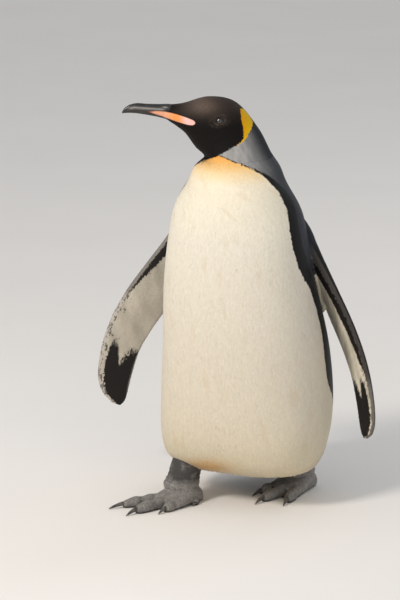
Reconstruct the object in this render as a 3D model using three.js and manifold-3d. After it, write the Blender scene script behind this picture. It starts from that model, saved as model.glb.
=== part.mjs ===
// A life-size king penguin, walking, with its head turned to its right.
// Millimetres, +Z up. The bird's chest faces -Y and its left side is +X.
// The body and head are laid out straight ahead as (forward, left, up), where forward is -Y.
// The neck is then turned, and the spine sways towards the leading foot.
import * as THREE from "three";
import Module from "manifold-3d";
import { mergeVertices } from "three/addons/utils/BufferGeometryUtils.js";

// ---- driving dimensions -------------------------------------------------------------------

// The pose.
const HEAD_TURN = 60; // degrees, to the bird's right
const NECK_TURN_LOW = 562; // height at which the neck starts to turn
const NECK_TURN_HIGH = 680; // height at which the turn is complete
const NECK_AXIS_FORWARD = 22; // the upright line that the neck turns about
const SWAY_START = -3.5; // the hips lean to the bird's left
// The spine then bends to its right. Each bend is [amount, first height, last height].
const SWAY_BENDS = [[8, 290, 460], [4, 500, 640], [11.5, 640, 745]];
const ORIGIN_SHIFT = new THREE.Vector3(34, 30, 0); // puts the middle of the outline over the origin

// Fits and facets.
const GAP = 0.3; // clearance between solids that meet
const FINEST_FACET = 0.08; // facets finer than this are merged
const BODY_SIDES = 34;
const ROWS_PER_STATION = 2;

// The trunk, neck and head: each station is a slice between a point on the back and a point on
// the front, both [forward, up]; half is its half width; square is its superellipse exponent;
// taper makes its front wider than its back.
const BODY_STATIONS = [
  { back: [-96, 38], front: [-92, 36], half: 4, square: 2.0, taper: 0 },
  { back: [-118, 61], front: [-44, 35], half: 92, square: 2.5, taper: 0.03 },
  { back: [-127, 98], front: [38, 55], half: 135, square: 2.9, taper: 0.06 },
  { back: [-135, 146], front: [100, 75], half: 153, square: 3.0, taper: 0.05 },
  { back: [-141, 202], front: [126, 116], half: 162, square: 2.7, taper: 0.03 },
  { back: [-140, 266], front: [136, 182], half: 164, square: 2.4, taper: 0.01 },
  { back: [-129, 333], front: [140, 260], half: 160, square: 2.3, taper: 0 },
  { back: [-115, 400], front: [142, 342], half: 153, square: 2.25, taper: 0 },
  { back: [-101, 463], front: [140, 421], half: 145, square: 2.2, taper: 0 },
  { back: [-89, 522], front: [133, 496], half: 137, square: 2.2, taper: 0 },
  { back: [-79, 576], front: [123, 560], half: 125, square: 2.2, taper: 0 },
  { back: [-71, 619], front: [112, 613], half: 107, square: 2.1, taper: 0 },
  { back: [-63, 653], front: [102, 652], half: 81, square: 2.1, taper: 0 },
  { back: [-48.5, 681], front: [80, 675], half: 60, square: 2.1, taper: 0 },
  { back: [-30, 728], front: [94.5, 695], half: 46, square: 2.1, taper: 0 },
  { back: [11, 777.8], front: [109, 720], half: 41, square: 2.1, taper: 0 },
  { back: [61, 789.8], front: [124, 734], half: 33, square: 2.1, taper: 0 },
  { back: [109, 778.8], front: [140, 745], half: 21, square: 2.1, taper: 0 },
  { back: [136, 777.3], front: [150, 750], half: 14, square: 2.1, taper: 0 },
];
const NECK_TOP_CUT = 679; // between neck and head
const NECK_BOTTOM_CUT = 606; // between trunk and neck

// The bill: culmen is its top line and keel its bottom line.
const BILL_STATIONS = [
  { culmen: [112, 772], keel: [124, 746], half: 13 },
  { culmen: [136, 777], keel: [147, 749], half: 12.5 },
  { culmen: [158, 777.5], keel: [163, 753.5], half: 9.6 },
  { culmen: [181, 778.5], keel: [183, 757.5], half: 7.6 },
  { culmen: [200, 780], keel: [200, 760.5], half: 6.3 },
  { culmen: [214, 777], keel: [212, 761.5], half: 4.8 },
  { culmen: [223, 771], keel: [221, 761.5], half: 3.2 },
  { culmen: [228, 763.5], keel: [227, 761], half: 1 },
];
const BILL_SIDES = 14;
// The line along which the two halves of the bill meet, [forward, up], from gape to tip.
const BILL_EDGE_LINE = [
  [100, 757], [120, 762.5], [135, 766], [145, 767], [164, 767.8],
  [184, 769.5], [204, 771], [215, 769.5], [221, 765], [226, 757],
];
// The coloured plate on each side of the lower bill, as a leaf outline, [forward, up].
const PLATE_OUTLINE = [
  [88, 748], [92, 753.5], [105, 758], [120, 761.5], [135, 765], [148, 766], [164, 766.2], [180, 765],
  [170, 759], [159, 754.5], [144, 749], [125, 745], [110, 742], [98, 740.5], [90, 743],
];
const PLATE_THICKNESS = 1.6;

// The eyes.
const EYE_FORWARD = 46.3;
const EYE_HEIGHT = 749.4;
const EYE_OUT = 33.8; // from the middle of the head to the middle of each eyeball
const EYE_RADIUS = 8;

// The flippers. Along each flipper s runs from 0 at the shoulder joint to 1 at the tip; lead and
// trail are the distances of its two edges from that line, and thick its half thickness.
const FLIPPER_STATIONS = [
  { s: -0.16, lead: 6, trail: -14, thick: 8 },
  { s: -0.05, lead: 27, trail: -30, thick: 15 },
  { s: 0.1, lead: 40, trail: -31, thick: 12 },
  { s: 0.26, lead: 55, trail: -25, thick: 8.5 },
  { s: 0.42, lead: 69, trail: -17, thick: 7.2 },
  { s: 0.57, lead: 76, trail: -5, thick: 6.4 },
  { s: 0.7, lead: 75, trail: 1, thick: 5.6 },
  { s: 0.82, lead: 67, trail: -3, thick: 4.8 },
  { s: 0.91, lead: 55, trail: -8, thick: 4 },
  { s: 0.97, lead: 36, trail: -10, thick: 3 },
  { s: 1.0, lead: 12, trail: -5, thick: 1.6 },
];
const FLIPPER_TAPER = 0.4; // how much thicker the leading edge is than the trailing edge
const FLIPPER_BOW = 14; // how far the flipper bends outwards between shoulder and tip
const FLIPPER_SIDES = 14;
const RIGHT_SHOULDER = [-130, 25, 505];
const RIGHT_FLIPPER_TIP = [-295, 40, 138];
const RIGHT_CHORD = [-0.881, -0.291, 0.372]; // from trailing to leading edge
const LEFT_SHOULDER = [111, 30, 505];
const LEFT_FLIPPER_TIP = [223, 68, 123];
const LEFT_CHORD = [0.787, -0.615, 0.1];

// The tail, as slices [forward, up] with half width and half thickness.
const TAIL_STATIONS = [
  { at: [-82, 112], half: 34, thick: 22 },
  { at: [-110, 78], half: 42, thick: 20 },
  { at: [-131, 50], half: 38, thick: 13 },
  { at: [-147, 28], half: 29, thick: 7.5 },
  { at: [-158, 13], half: 17, thick: 4 },
  { at: [-162, 7], half: 6, thick: 1.8 },
];

// The legs and feet. Heading is in degrees, from straight ahead towards the bird's right.
// The hip is where the leg's line has got to at the height of its top.
// The shank stands a little outside the ankle's middle, and reach is how far a curled toe gets.
const RIGHT_LIMB = {
  ankle: [-86, -84], shank: [-95.5, -88.3], hip: [-76, -50], heading: 25, reach: { inner: 0.86 },
};
const LEFT_LIMB = {
  ankle: [80, 92], shank: [73, 88.9], hip: [60, 36], heading: 12, reach: { outer: 0.84 },
};
const ANKLE_CUT = 31; // height at which leg and foot meet
const LEG_TOP = 140;
const LEG_BEND = 36; // height above which the leg slants to the hip
// Each leg slice is [up, half length, half width].
const LEG_STATIONS = [
  [12, 25, 24], [24, 31, 31], [38, 34, 34.5], [50, 32, 33], [64, 31, 32], [90, 31, 31], [LEG_TOP, 31, 31],
];
// Each foot slice is [forward, half width, top].
const METATARSUS_STATIONS = [
  [-30, 6, 12], [-25, 20, 25], [-12, 28, 35], [4, 32, 38],
  [26, 35, 32], [46, 37, 24], [64, 34, 17],
];
// Each toe runs from its root to its end, [forward, inward], and its claw reaches further.
const TOES = {
  inner: { root: [22, 18], end: [90, 33], claw: [113, 37], half: 10.5, top: 22 },
  middle: { root: [24, 0], end: [127, 1], claw: [153, 2], half: 11.5, top: 24 },
  outer: { root: [22, -18], end: [122, -45], claw: [150, -54], half: 10.5, top: 22 },
};
const HIND_TOE = { root: [-8, 22], end: [9, 35], claw: [18, 38], half: 5, top: 14 };
// The web reaches this share of each toe's length, and less between the toes.
const WEB_REACH = 0.86;
const WEB_NOTCH = 0.66;
const WEB_TOP = 9;
const WEB_UNDER = 1.5;

// ---- curves, pose and solids --------------------------------------------------------------

const radians = THREE.MathUtils.degToRad;
const UPRIGHT = new THREE.Vector3(0, 0, 1);
const vector = ([x, y, z]) => new THREE.Vector3(x, y, z);

/** The value at t, in steps of the list, on a smooth curve through the listed values. */
function through(values, t) {
  const last = values.length - 1;
  const i = Math.min(Math.floor(t), last - 1);
  const u = t - i;
  const slopeIn = i > 0 ? (values[i + 1] - values[i - 1]) / 2 : values[1] - values[0];
  const slopeOut = i + 1 < last ? (values[i + 2] - values[i]) / 2 : values[last] - values[last - 1];
  const [u2, u3] = [u * u, u * u * u];
  const ends = values[i] * (2 * u3 - 3 * u2 + 1) + values[i + 1] * (3 * u2 - 2 * u3);
  return ends + slopeIn * (u3 - 2 * u2 + u) + slopeOut * (u3 - u2);
}

/** A signed power, which squares off a circle's cosine or sine. */
const squared = (value, exponent) => Math.sign(value) * Math.abs(value) ** (2 / exponent);

/** A point given as forward, left and up. */
const point = (forward, left, up) => new THREE.Vector3(left, -forward, up);

/** Turns a point of the neck or head about the neck's upright line, then bends the spine. */
function poseBody(p) {
  const turned = THREE.MathUtils.smoothstep(p.z, NECK_TURN_LOW, NECK_TURN_HIGH);
  const axis = point(NECK_AXIS_FORWARD, 0, 0);
  p.sub(axis).applyAxisAngle(new THREE.Vector3(0, 0, 1), -radians(HEAD_TURN) * turned).add(axis);
  p.x -= SWAY_BENDS.reduce(
    (sum, [amount, low, high]) => sum + amount * THREE.MathUtils.smoothstep(p.z, low, high),
    SWAY_START,
  );
  return p;
}

/** The direction in which a loft ends. */
const endRun = (before, end) => end.middle.clone().sub(before.middle).normalize();

/**
 * Rings of points for a loft. Each slice holds its middle, its two half axes (along and across),
 * its exponent and its taper, which widens the side that the first axis points to.
 */
function loftRings(slices, { sides, rows = 1, grow = 0, pose = (p) => p }) {
  const steps = (slices.length - 1) * rows;
  return Array.from({ length: steps + 1 }, (_, row) => {
    const t = row / rows;
    const mix = (pick) => through(slices.map(pick), t);
    const blend = (key) => new THREE.Vector3(...["x", "y", "z"].map((axis) => mix((s) => s[key][axis])));
    const [middle, along, across] = ["middle", "along", "across"].map(blend);
    along.setLength(along.length() + grow);
    across.setLength(across.length() + grow);
    if (row === 0) middle.addScaledVector(endRun(slices[1], slices[0]), grow);
    if (row === steps) middle.addScaledVector(endRun(slices.at(-2), slices.at(-1)), grow);
    const [square, taper] = [mix((s) => s.square), mix((s) => s.taper ?? 0)];
    return Array.from({ length: sides }, (_, side) => {
      const angle = (2 * Math.PI * side) / sides;
      const a = squared(Math.cos(angle), square);
      const b = squared(Math.sin(angle), square) * (1 + taper * a);
      return pose(middle.clone().addScaledVector(along, a).addScaledVector(across, b));
    });
  });
}

/** A closed skin over rings of points, each end closed by a point amid its ring. */
function skinOver(rings) {
  const sides = rings[0].length;
  const middle = (ring) => ring.reduce((sum, p) => sum.add(p), new THREE.Vector3()).divideScalar(sides);
  const points = [...rings.flat(), middle(rings[0]), middle(rings[rings.length - 1])];
  const [firstPole, lastPole] = [points.length - 2, points.length - 1];
  const lastRow = (rings.length - 1) * sides;
  const faces = [];
  for (let side = 0; side < sides; side++) {
    const next = (side + 1) % sides;
    faces.push(firstPole, next, side);
    faces.push(lastPole, lastRow + side, lastRow + next);
    for (let row = 0; row < lastRow; row += sides) {
      const [a, b] = [row + side, row + next];
      faces.push(a, b, b + sides, a, b + sides, a + sides);
    }
  }
  return new THREE.BufferGeometry().setFromPoints(points).setIndex(faces);
}

const wasm = await Module();
wasm.setup();

/** A three.js geometry as a solid that can be cut and joined, turned right side out. */
function solid(geometry) {
  const bare = geometry.clone();
  bare.deleteAttribute("normal");
  bare.deleteAttribute("uv");
  const merged = mergeVertices(bare, 1e-4);
  const corners = new Uint32Array(merged.index.array);
  const build = () =>
    new wasm.Manifold(
      new wasm.Mesh({
        numProp: 3,
        vertProperties: new Float32Array(merged.attributes.position.array),
        triVerts: corners,
      }),
    );
  const made = build();
  if (made.volume() > 0) return made;
  for (let i = 0; i < corners.length; i += 3) {
    [corners[i], corners[i + 1]] = [corners[i + 1], corners[i]];
  }
  return build();
}

const loft = (slices, options) => solid(skinOver(loftRings(slices, options)));
const union = (solids) => wasm.Manifold.union(solids);
const keepAbove = (body, height) => body.trimByPlane([0, 0, 1], height);
const keepBelow = (body, height) => body.trimByPlane([0, 0, -1], -height);

/** The largest closed piece of a solid, as cutting can leave crumbs. */
const largest = (body) => body.decompose().sort((a, b) => b.volume() - a.volume())[0];

const group = new THREE.Group();
const shift = ORIGIN_SHIFT.toArray();

/** Adds a named node to the part. */
function addNode(name, body, { color, roughness, metalness = 0 }) {
  const mesh = largest(body).translate(shift).simplify(FINEST_FACET).getMesh();
  const geometry = new THREE.BufferGeometry();
  geometry.setAttribute("position", new THREE.BufferAttribute(mesh.vertProperties, mesh.numProp));
  geometry.setIndex(new THREE.BufferAttribute(mesh.triVerts, 1));
  const node = new THREE.Mesh(geometry, new THREE.MeshStandardMaterial({ color, roughness, metalness }));
  node.name = name;
  group.add(node);
}

const CREAM = { color: 0xe9dfc8, roughness: 0.85 };
const SILVER = { color: 0x8b8c8e, roughness: 0.8 };
const HOOD = { color: 0x2a221e, roughness: 0.75 };
const BLUE_SLATE = { color: 0x4c5056, roughness: 0.8 };
const FLIPPER_CREAM = { color: 0xc9c0ac, roughness: 0.8 };
const HORN = { color: 0x2c2b2d, roughness: 0.45 };
const PLATE_ORANGE = { color: 0xe8a27c, roughness: 0.4 };
const EYE_BROWN = { color: 0x1d120d, roughness: 0.12 };
const FOOT_GREY = { color: 0x56514d, roughness: 0.75 };
const CLAW_BLACK = { color: 0x1c1a19, roughness: 0.4 };

// ---- trunk, neck and head -----------------------------------------------------------------

/** The posed outer shape from tail base to bill base, grown outwards by some millimetres. */
function bodySolid(grow) {
  const slices = BODY_STATIONS.map(({ back, front, half, square, taper }) => {
    const [rear, fore] = [point(back[0], 0, back[1]), point(front[0], 0, front[1])];
    const middle = rear.clone().add(fore).divideScalar(2);
    return { middle, along: fore.sub(middle), across: point(0, half, 0), square, taper };
  });
  return loft(slices, { sides: BODY_SIDES, rows: ROWS_PER_STATION, grow, pose: poseBody });
}

/** The whole bill, whose root lies inside the head, grown outwards by some millimetres. */
function billSolid(grow) {
  const slices = BILL_STATIONS.map(({ culmen, keel, half }) => {
    const [top, bottom] = [point(culmen[0], 0, culmen[1]), point(keel[0], 0, keel[1])];
    const middle = top.clone().add(bottom).divideScalar(2);
    return { middle, along: top.sub(middle), across: point(0, half, 0), square: 1.9 };
  });
  return loft(slices, { sides: BILL_SIDES, grow, pose: poseBody });
}

/** A flat outline of [forward, up] points drawn out sideways between two distances. */
function sidewaysPrism(outline, from, to) {
  const face = new THREE.Shape(outline.map(([forward, up]) => new THREE.Vector2(forward, up)));
  const prism = new THREE.ExtrudeGeometry(face, { depth: to - from, bevelEnabled: false });
  const position = prism.getAttribute("position");
  for (let i = 0; i < position.count; i++) {
    const p = new THREE.Vector3().fromBufferAttribute(position, i);
    position.setXYZ(i, ...poseBody(point(p.x, p.z + from, p.y)).toArray());
  }
  return solid(prism);
}

const body = bodySolid(0);
const bodyRoom = bodySolid(GAP);
const head = keepAbove(body, NECK_TOP_CUT + GAP / 2);
const neck = keepAbove(keepBelow(body, NECK_TOP_CUT - GAP / 2), NECK_BOTTOM_CUT + GAP / 2);
const trunk = keepBelow(body, NECK_BOTTOM_CUT - GAP / 2);

const eyeAt = (left) => poseBody(point(EYE_FORWARD, left, EYE_HEIGHT)).toArray();
const eyeBall = (left, radius) => solid(new THREE.SphereGeometry(radius, 14, 8)).translate(eyeAt(left));
const sockets = [EYE_OUT, -EYE_OUT].map((left) => eyeBall(left, EYE_RADIUS + GAP));

addNode("trunk", trunk, CREAM);
addNode("neck", neck, SILVER);
addNode("head", head.subtract(union(sockets)), HOOD);
addNode("eye_left", eyeBall(EYE_OUT, EYE_RADIUS), EYE_BROWN);
addNode("eye_right", eyeBall(-EYE_OUT, EYE_RADIUS), EYE_BROWN);

// The bill is parted by a thin ribbon that follows the line where its halves meet.
const bill = billSolid(0).subtract(bodyRoom);
const ribbonTop = BILL_EDGE_LINE.map(([forward, up]) => [forward, up + GAP / 2]);
const ribbonBottom = BILL_EDGE_LINE.map(([forward, up]) => [forward, up - GAP / 2]).reverse();
const ribbon = sidewaysPrism([...ribbonTop, ...ribbonBottom], -30, 30);
const billHalves = bill.subtract(ribbon).decompose().sort((a, b) => b.volume() - a.volume()).slice(0, 2);
const middleHeight = (half) => half.boundingBox().max[2];
const [lowerBill, upperBill] = billHalves.sort((a, b) => middleHeight(a) - middleHeight(b));
addNode("bill_upper", upperBill, HORN);
addNode("bill_lower", lowerBill, HORN);

// Each plate is the part of a thin shell over head and bill that lies within the leaf outline.
const underPlates = union([bodyRoom, billSolid(GAP)]);
const overPlates = union([bodySolid(GAP + PLATE_THICKNESS), billSolid(GAP + PLATE_THICKNESS)]);
const plateShell = overPlates.subtract(underPlates);
addNode("plate_left", plateShell.intersect(sidewaysPrism(PLATE_OUTLINE, 3, 45)), PLATE_ORANGE);
addNode("plate_right", plateShell.intersect(sidewaysPrism(PLATE_OUTLINE, -45, -3)), PLATE_ORANGE);

// ---- flippers and tail --------------------------------------------------------------------

/** A flipper from its shoulder joint to its tip; its root is shaped to the trunk's side. */
function flipper(shoulder, tip, chord, side) {
  const span = vector(tip).sub(vector(shoulder));
  const forward = vector(chord).projectOnPlane(span.clone().normalize()).normalize();
  const outward = new THREE.Vector3().crossVectors(span, forward).normalize().multiplyScalar(side);
  const slices = FLIPPER_STATIONS.map(({ s, lead, trail, thick }) => {
    const bow = FLIPPER_BOW * Math.sin(Math.PI * Math.max(0, s));
    const middle = vector(shoulder).addScaledVector(span, s);
    middle.addScaledVector(forward, (lead + trail) / 2).addScaledVector(outward, bow);
    const along = forward.clone().multiplyScalar((lead - trail) / 2);
    return { middle, along, across: outward.clone().multiplyScalar(thick), square: 2.1, taper: FLIPPER_TAPER };
  });
  return loft(slices, { sides: FLIPPER_SIDES, rows: 2 }).subtract(bodyRoom);
}

addNode("flipper_left", flipper(LEFT_SHOULDER, LEFT_FLIPPER_TIP, LEFT_CHORD, -1), FLIPPER_CREAM);
addNode("flipper_right", flipper(RIGHT_SHOULDER, RIGHT_FLIPPER_TIP, RIGHT_CHORD, 1), FLIPPER_CREAM);

const tailSlices = TAIL_STATIONS.map(({ at, half, thick }, i) => {
  const [before, after] = [TAIL_STATIONS[Math.max(0, i - 1)].at, TAIL_STATIONS[Math.min(5, i + 1)].at];
  const run = new THREE.Vector2(after[0] - before[0], after[1] - before[1]).normalize();
  const along = point(-run.y, 0, run.x).multiplyScalar(thick);
  return { middle: point(at[0], 0, at[1]), along, across: point(0, half, 0), square: 2.2 };
});
addNode("tail", loft(tailSlices, { sides: 18 }).subtract(bodyRoom), BLUE_SLATE);

// ---- legs, feet and claws -----------------------------------------------------------------

/** Slices of a toe or claw between two [forward, inward] points, from [share, half, top, under]. */
function digitSlices(from, to, inward, rows) {
  const run = new THREE.Vector2(to[0] - from[0], to[1] - from[1]).normalize();
  return rows.map(([share, half, top, under]) => ({
    middle: point(
      from[0] + (to[0] - from[0]) * share,
      inward * (from[1] + (to[1] - from[1]) * share),
      (top + under) / 2,
    ),
    along: point(0, 0, (top - under) / 2),
    across: point(-run.y * half, inward * run.x * half, 0),
    square: 2.3,
  }));
}

const toeRows = ({ half, top }) => [
  [-0.04, half * 0.5, top * 0.9, -3],
  [0.12, half * 1.05, top, -4],
  [0.42, half * 0.98, top * 0.86, -4],
  [0.68, half * 1.1, top * 0.84, -4],
  [0.88, half * 1.0, top * 0.76, -4],
  [0.97, half * 0.72, top * 0.62, -2],
  [1.0, half * 0.35, top * 0.48, 2],
];

const clawRows = (top) => [
  [-0.5, 3.5, top * 0.66, top * 0.2],
  [0.0, 4.8, top * 0.68, top * 0.14],
  [0.35, 4.2, top * 0.62, top * 0.1],
  [0.7, 2.7, top * 0.42, 1.6],
  [1.0, 0.8, 2.6, 0.8],
];

/** A toe whose end and claw come nearer to its root. */
function curled(toe, reach) {
  const nearer = (place) => place.map((value, i) => toe.root[i] + (value - toe.root[i]) * reach);
  return { ...toe, end: nearer(toe.end), claw: nearer(toe.claw) };
}

/** A leg with its foot and claws. inward is +1 where the midline lies to the limb's left. */
function addLimb(sideName, { ankle, shank: shankFoot, hip, heading, reach }, inward) {
  const place = (made) => made.rotate([0, 0, -heading]).translate([...ankle, 0]);
  const toes = Object.fromEntries(
    Object.entries(TOES).map(([name, toe]) => [name, curled(toe, reach[name] ?? 1)]),
  );
  const digit = (toe, grow) =>
    loft(digitSlices(toe.root, toe.end, inward, toeRows(toe)), { sides: 10, grow });
  const digits = (grow) => [...Object.values(toes), HIND_TOE].map((toe) => digit(toe, grow));

  const footSlices = METATARSUS_STATIONS.map(([forward, half, top]) => ({
    middle: point(forward, 0, (top - 6) / 2),
    along: point(0, 0, (top + 6) / 2),
    across: point(0, half, 0),
    square: 2.3,
  }));
  const fromAnkle = ([x, y]) =>
    new THREE.Vector3(x - ankle[0], y - ankle[1], 0).applyAxisAngle(UPRIGHT, radians(heading));
  const shankStart = fromAnkle(shankFoot);
  const knee = fromAnkle(hip).sub(shankStart);
  const legSlices = LEG_STATIONS.map(([up, halfLength, half]) => ({
    middle: point(0, 0, up)
      .add(shankStart)
      .addScaledVector(knee, Math.max(0, (up - LEG_BEND) / (LEG_TOP - LEG_BEND))),
    along: point(halfLength, 0, 0),
    across: point(0, half, 0),
    square: 2.2,
  }));
  const shank = (grow) => loft(legSlices, { sides: 16, grow });
  const metatarsus = (grow) => loft(footSlices, { sides: 12, grow });
  const along = ({ root, end }, share) => new THREE.Vector2(...root).lerp(new THREE.Vector2(...end), share);
  const between = (one, other) => along(one, WEB_NOTCH).lerp(along(other, WEB_NOTCH), 0.5);
  const { inner, middle, outer } = toes;
  const webOutline = [
    along(inner, 0), along(inner, WEB_REACH), between(inner, middle),
    along(middle, WEB_REACH), between(middle, outer), along(outer, WEB_REACH), along(outer, 0),
  ];
  const webFace = new THREE.Shape(webOutline.map((p) => new THREE.Vector2(inward * p.y, -p.x)));
  const webSheet = new THREE.ExtrudeGeometry(webFace, { depth: WEB_TOP - WEB_UNDER, bevelEnabled: false });
  const web = solid(webSheet).translate([0, 0, WEB_UNDER]);

  const foot = union([metatarsus(0), web, ...digits(0), shank(0)]);
  addNode(`foot_${sideName}`, place(keepAbove(keepBelow(foot, ANKLE_CUT - GAP / 2), 0)), FOOT_GREY);
  const leg = place(keepAbove(shank(0), ANKLE_CUT + GAP / 2)).subtract(bodyRoom);
  addNode(`leg_${sideName}`, leg, FOOT_GREY);

  const clawRoom = union([metatarsus(GAP), ...digits(GAP), shank(GAP)]);
  for (const [name, toe] of Object.entries({ ...toes, hind: HIND_TOE })) {
    const slices = digitSlices(toe.end, toe.claw, inward, clawRows(toe.top));
    const claw = loft(slices, { sides: 6 }).subtract(clawRoom);
    addNode(`claw_${sideName}_${name}`, place(claw), CLAW_BLACK);
  }
}

addLimb("left", LEFT_LIMB, -1);
addLimb("right", RIGHT_LIMB, 1);

export default group;
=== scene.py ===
# %% [markdown]
# # A king penguin in mid-step
# A walking king penguin stands a little under 0.8 m tall. Nearly all of it is one smooth body under a
# coat of very short, stiff feathers that overlap like roof tiles. Only the bill, the eyes, the scaly feet
# and the claws are bare. The bird is built the way a museum model is: a skin without seams, then the
# horn and eyes, then the coat, feather by feather.

import bmesh
import bpy
import numpy as np
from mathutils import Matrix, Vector


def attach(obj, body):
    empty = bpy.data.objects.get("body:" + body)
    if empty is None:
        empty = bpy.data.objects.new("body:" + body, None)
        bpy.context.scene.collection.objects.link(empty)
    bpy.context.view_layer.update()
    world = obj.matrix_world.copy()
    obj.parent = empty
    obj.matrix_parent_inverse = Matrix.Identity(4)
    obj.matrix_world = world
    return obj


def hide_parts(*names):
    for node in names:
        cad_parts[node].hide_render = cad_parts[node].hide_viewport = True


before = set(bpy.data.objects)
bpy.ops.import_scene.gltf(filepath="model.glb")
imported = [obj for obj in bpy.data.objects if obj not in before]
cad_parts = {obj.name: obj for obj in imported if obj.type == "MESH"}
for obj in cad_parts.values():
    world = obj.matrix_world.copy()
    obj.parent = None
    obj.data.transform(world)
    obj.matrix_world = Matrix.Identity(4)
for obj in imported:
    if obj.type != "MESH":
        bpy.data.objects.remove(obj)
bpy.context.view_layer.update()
rng = np.random.default_rng(7)

# %% [markdown]
# ## Straight ahead first, then posed
# A bird that looks over its shoulder is hard to describe. So the body is described looking straight ahead,
# as millimetres forward, left and up, and a pose moves each point afterwards: the neck turns about an
# upright line, and the spine sways over the leading foot. The turn depends only on height, so it can be
# undone exactly, and markings can be laid out on the straight bird too.

# %% The pose
HEAD_TURN = np.radians(60)
NECK_TURN = (562, 680)  # heights between which the neck turns
NECK_AXIS_FORWARD = 22
SWAY_START = -3.5
SWAY_BENDS = ((8, 290, 460), (4, 500, 640), (11.5, 640, 745))  # amount, first and last height
ORIGIN_SHIFT = np.array([34.0, 30.0, 0.0])


def smoothstep(x, low, high):
    """0 up to low, 1 from high on, 3 s squared minus 2 s cubed between; it falls where low is the larger."""
    s = np.clip((x - low) / (high - low), 0, 1)
    return s * s * (3 - 2 * s)


def turned(x, y, angle):
    """The point (x, y) turned anticlockwise about (0, 0)."""
    return x * np.cos(angle) - y * np.sin(angle), x * np.sin(angle) + y * np.cos(angle)


def sway(u):
    """How far the spine leans to the bird's right at height u: the start plus every bend passed."""
    return SWAY_START + sum(amount * smoothstep(u, low, high) for amount, low, high in SWAY_BENDS)


def pose(straight):
    """Straight (forward, left, up) in mm to posed metres: turned about the neck's line, then leaned."""
    f, l, u = np.moveaxis(np.asarray(straight, float), -1, 0)
    x, y = turned(l, NECK_AXIS_FORWARD - f, -HEAD_TURN * smoothstep(u, *NECK_TURN))
    return (np.stack([x - sway(u), y - NECK_AXIS_FORWARD, u], -1) + ORIGIN_SHIFT) / 1000


def straighten(points):
    """Undoes pose: the straight (forward, left, up), and the bearing round the neck's line as posed."""
    x, y, u = np.moveaxis(np.asarray(points, float) * 1000 - ORIGIN_SHIFT, -1, 0)
    x, y = x + sway(u), y + NECK_AXIS_FORWARD
    bearing = np.degrees(np.arctan2(x, -y))
    l, back = turned(x, y, HEAD_TURN * smoothstep(u, *NECK_TURN))
    return NECK_AXIS_FORWARD - back, l, u, bearing


print("pose undone to", np.round(straighten(pose((57.0, 30.0, 745.0)))[:3], 6))

# %% [markdown]
# ## Body surface
# The trunk, neck and head are one surface of two parameters. Along the bird, t counts through slices that
# each run from a point on the back to a point on the front. Around the bird, an angle goes about each
# slice on a slightly squared ellipse. The slices fan out about the throat, because the head sits at right
# angles to the neck. The sizes are those of the CAD solids.

# %% Slices of the body
# back forward, back up, front forward, front up, half width, squareness, taper
BODY = np.array([
    [-96, 38, -92, 36, 4, 2.0, 0],
    [-118, 61, -44, 35, 92, 2.5, 0.03],
    [-127, 98, 38, 55, 135, 2.9, 0.06],
    [-135, 146, 100, 75, 153, 3.0, 0.05],
    [-141, 202, 126, 116, 162, 2.7, 0.03],
    [-140, 266, 136, 182, 164, 2.4, 0.01],
    [-129, 333, 140, 260, 160, 2.3, 0],
    [-115, 400, 142, 342, 153, 2.25, 0],
    [-101, 463, 140, 421, 145, 2.2, 0],
    [-89, 522, 133, 496, 137, 2.2, 0],
    [-79, 576, 123, 560, 125, 2.2, 0],
    [-71, 619, 112, 613, 107, 2.1, 0],
    [-63, 653, 102, 652, 81, 2.1, 0],
    [-48.5, 681, 80, 675, 60, 2.1, 0],
    [-30, 728, 94.5, 695, 46, 2.1, 0],
    [11, 777.8, 109, 720, 41, 2.1, 0],
    [61, 789.8, 124, 734, 33, 2.1, 0],
    [109, 778.8, 140, 745, 21, 2.1, 0],
    [136, 777.3, 150, 750, 14, 2.1, 0],
])
BILL_END = len(BODY) - 1
NECK_BASE = 10.75  # slice number where the trunk becomes neck
HEAD_BASE = 13.0  # slice number where the neck becomes head


def through(rows, t):
    """A smooth curve through rows at t = 0, 1, 2..., sloping at a row as the mean of the steps beside it."""
    rows, t = np.asarray(rows, float), np.asarray(t, float)
    slopes = np.gradient(rows, axis=0)
    i = np.clip(np.floor(t).astype(int), 0, len(rows) - 2)
    s = (t - i)[..., None]
    ends = rows[i] * (1 + 2 * s) * (1 - s) ** 2 + rows[i + 1] * s * s * (3 - 2 * s)
    return ends + slopes[i] * s * (1 - s) ** 2 + slopes[i + 1] * s * s * (s - 1)


def squared(value, exponent):
    """A signed power, which squares off a circle's cosine or sine."""
    return np.sign(value) * np.abs(value) ** (2 / exponent)


def gather(f, l, u):
    """Forward, left and up as one array of points."""
    return np.stack(np.broadcast_arrays(f, l, u), -1)


def body_surface(t, angle, depth=0.0):
    """The middle of slice t plus its two half axes times the squared-off cosine and sine of the angle,
    depth mm under the tips of the coat, posed."""
    t, angle = np.broadcast_arrays(np.asarray(t, float), np.asarray(angle, float))
    bf, bu, ff, fu, half, square, taper = np.moveaxis(through(BODY, t), -1, 0)
    reach_f, reach_u = (ff - bf) / 2, (fu - bu) / 2
    shrink = 1 - depth / np.maximum(np.hypot(reach_f, reach_u), depth + 1)
    a = squared(np.cos(angle), square)
    b = squared(np.sin(angle), square) * (1 + taper * a)
    f = (bf + ff) / 2 + reach_f * shrink * a
    u = (bu + fu) / 2 + reach_u * shrink * a
    return pose(gather(f, np.maximum(half - depth, 1) * b, u))


print("crown at", np.round(body_surface(16.0, np.pi), 3), "bill root at", np.round(body_surface(18.0, 0), 3))

# %% Meshes from arrays
def grid_faces(rows, columns):
    """Quads of a grid of rows by columns whose last column joins the first."""
    r, c = np.meshgrid(np.arange(rows - 1) * columns, np.arange(columns), indexing="ij")
    n = (c + 1) % columns
    return np.stack([r + c, r + n, r + columns + n, r + columns + c], -1).reshape(-1, 4)


def smooth(mesh):
    """Shades every face of a mesh smooth."""
    mesh.polygons.foreach_set("use_smooth", np.ones(len(mesh.polygons), bool))


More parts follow.
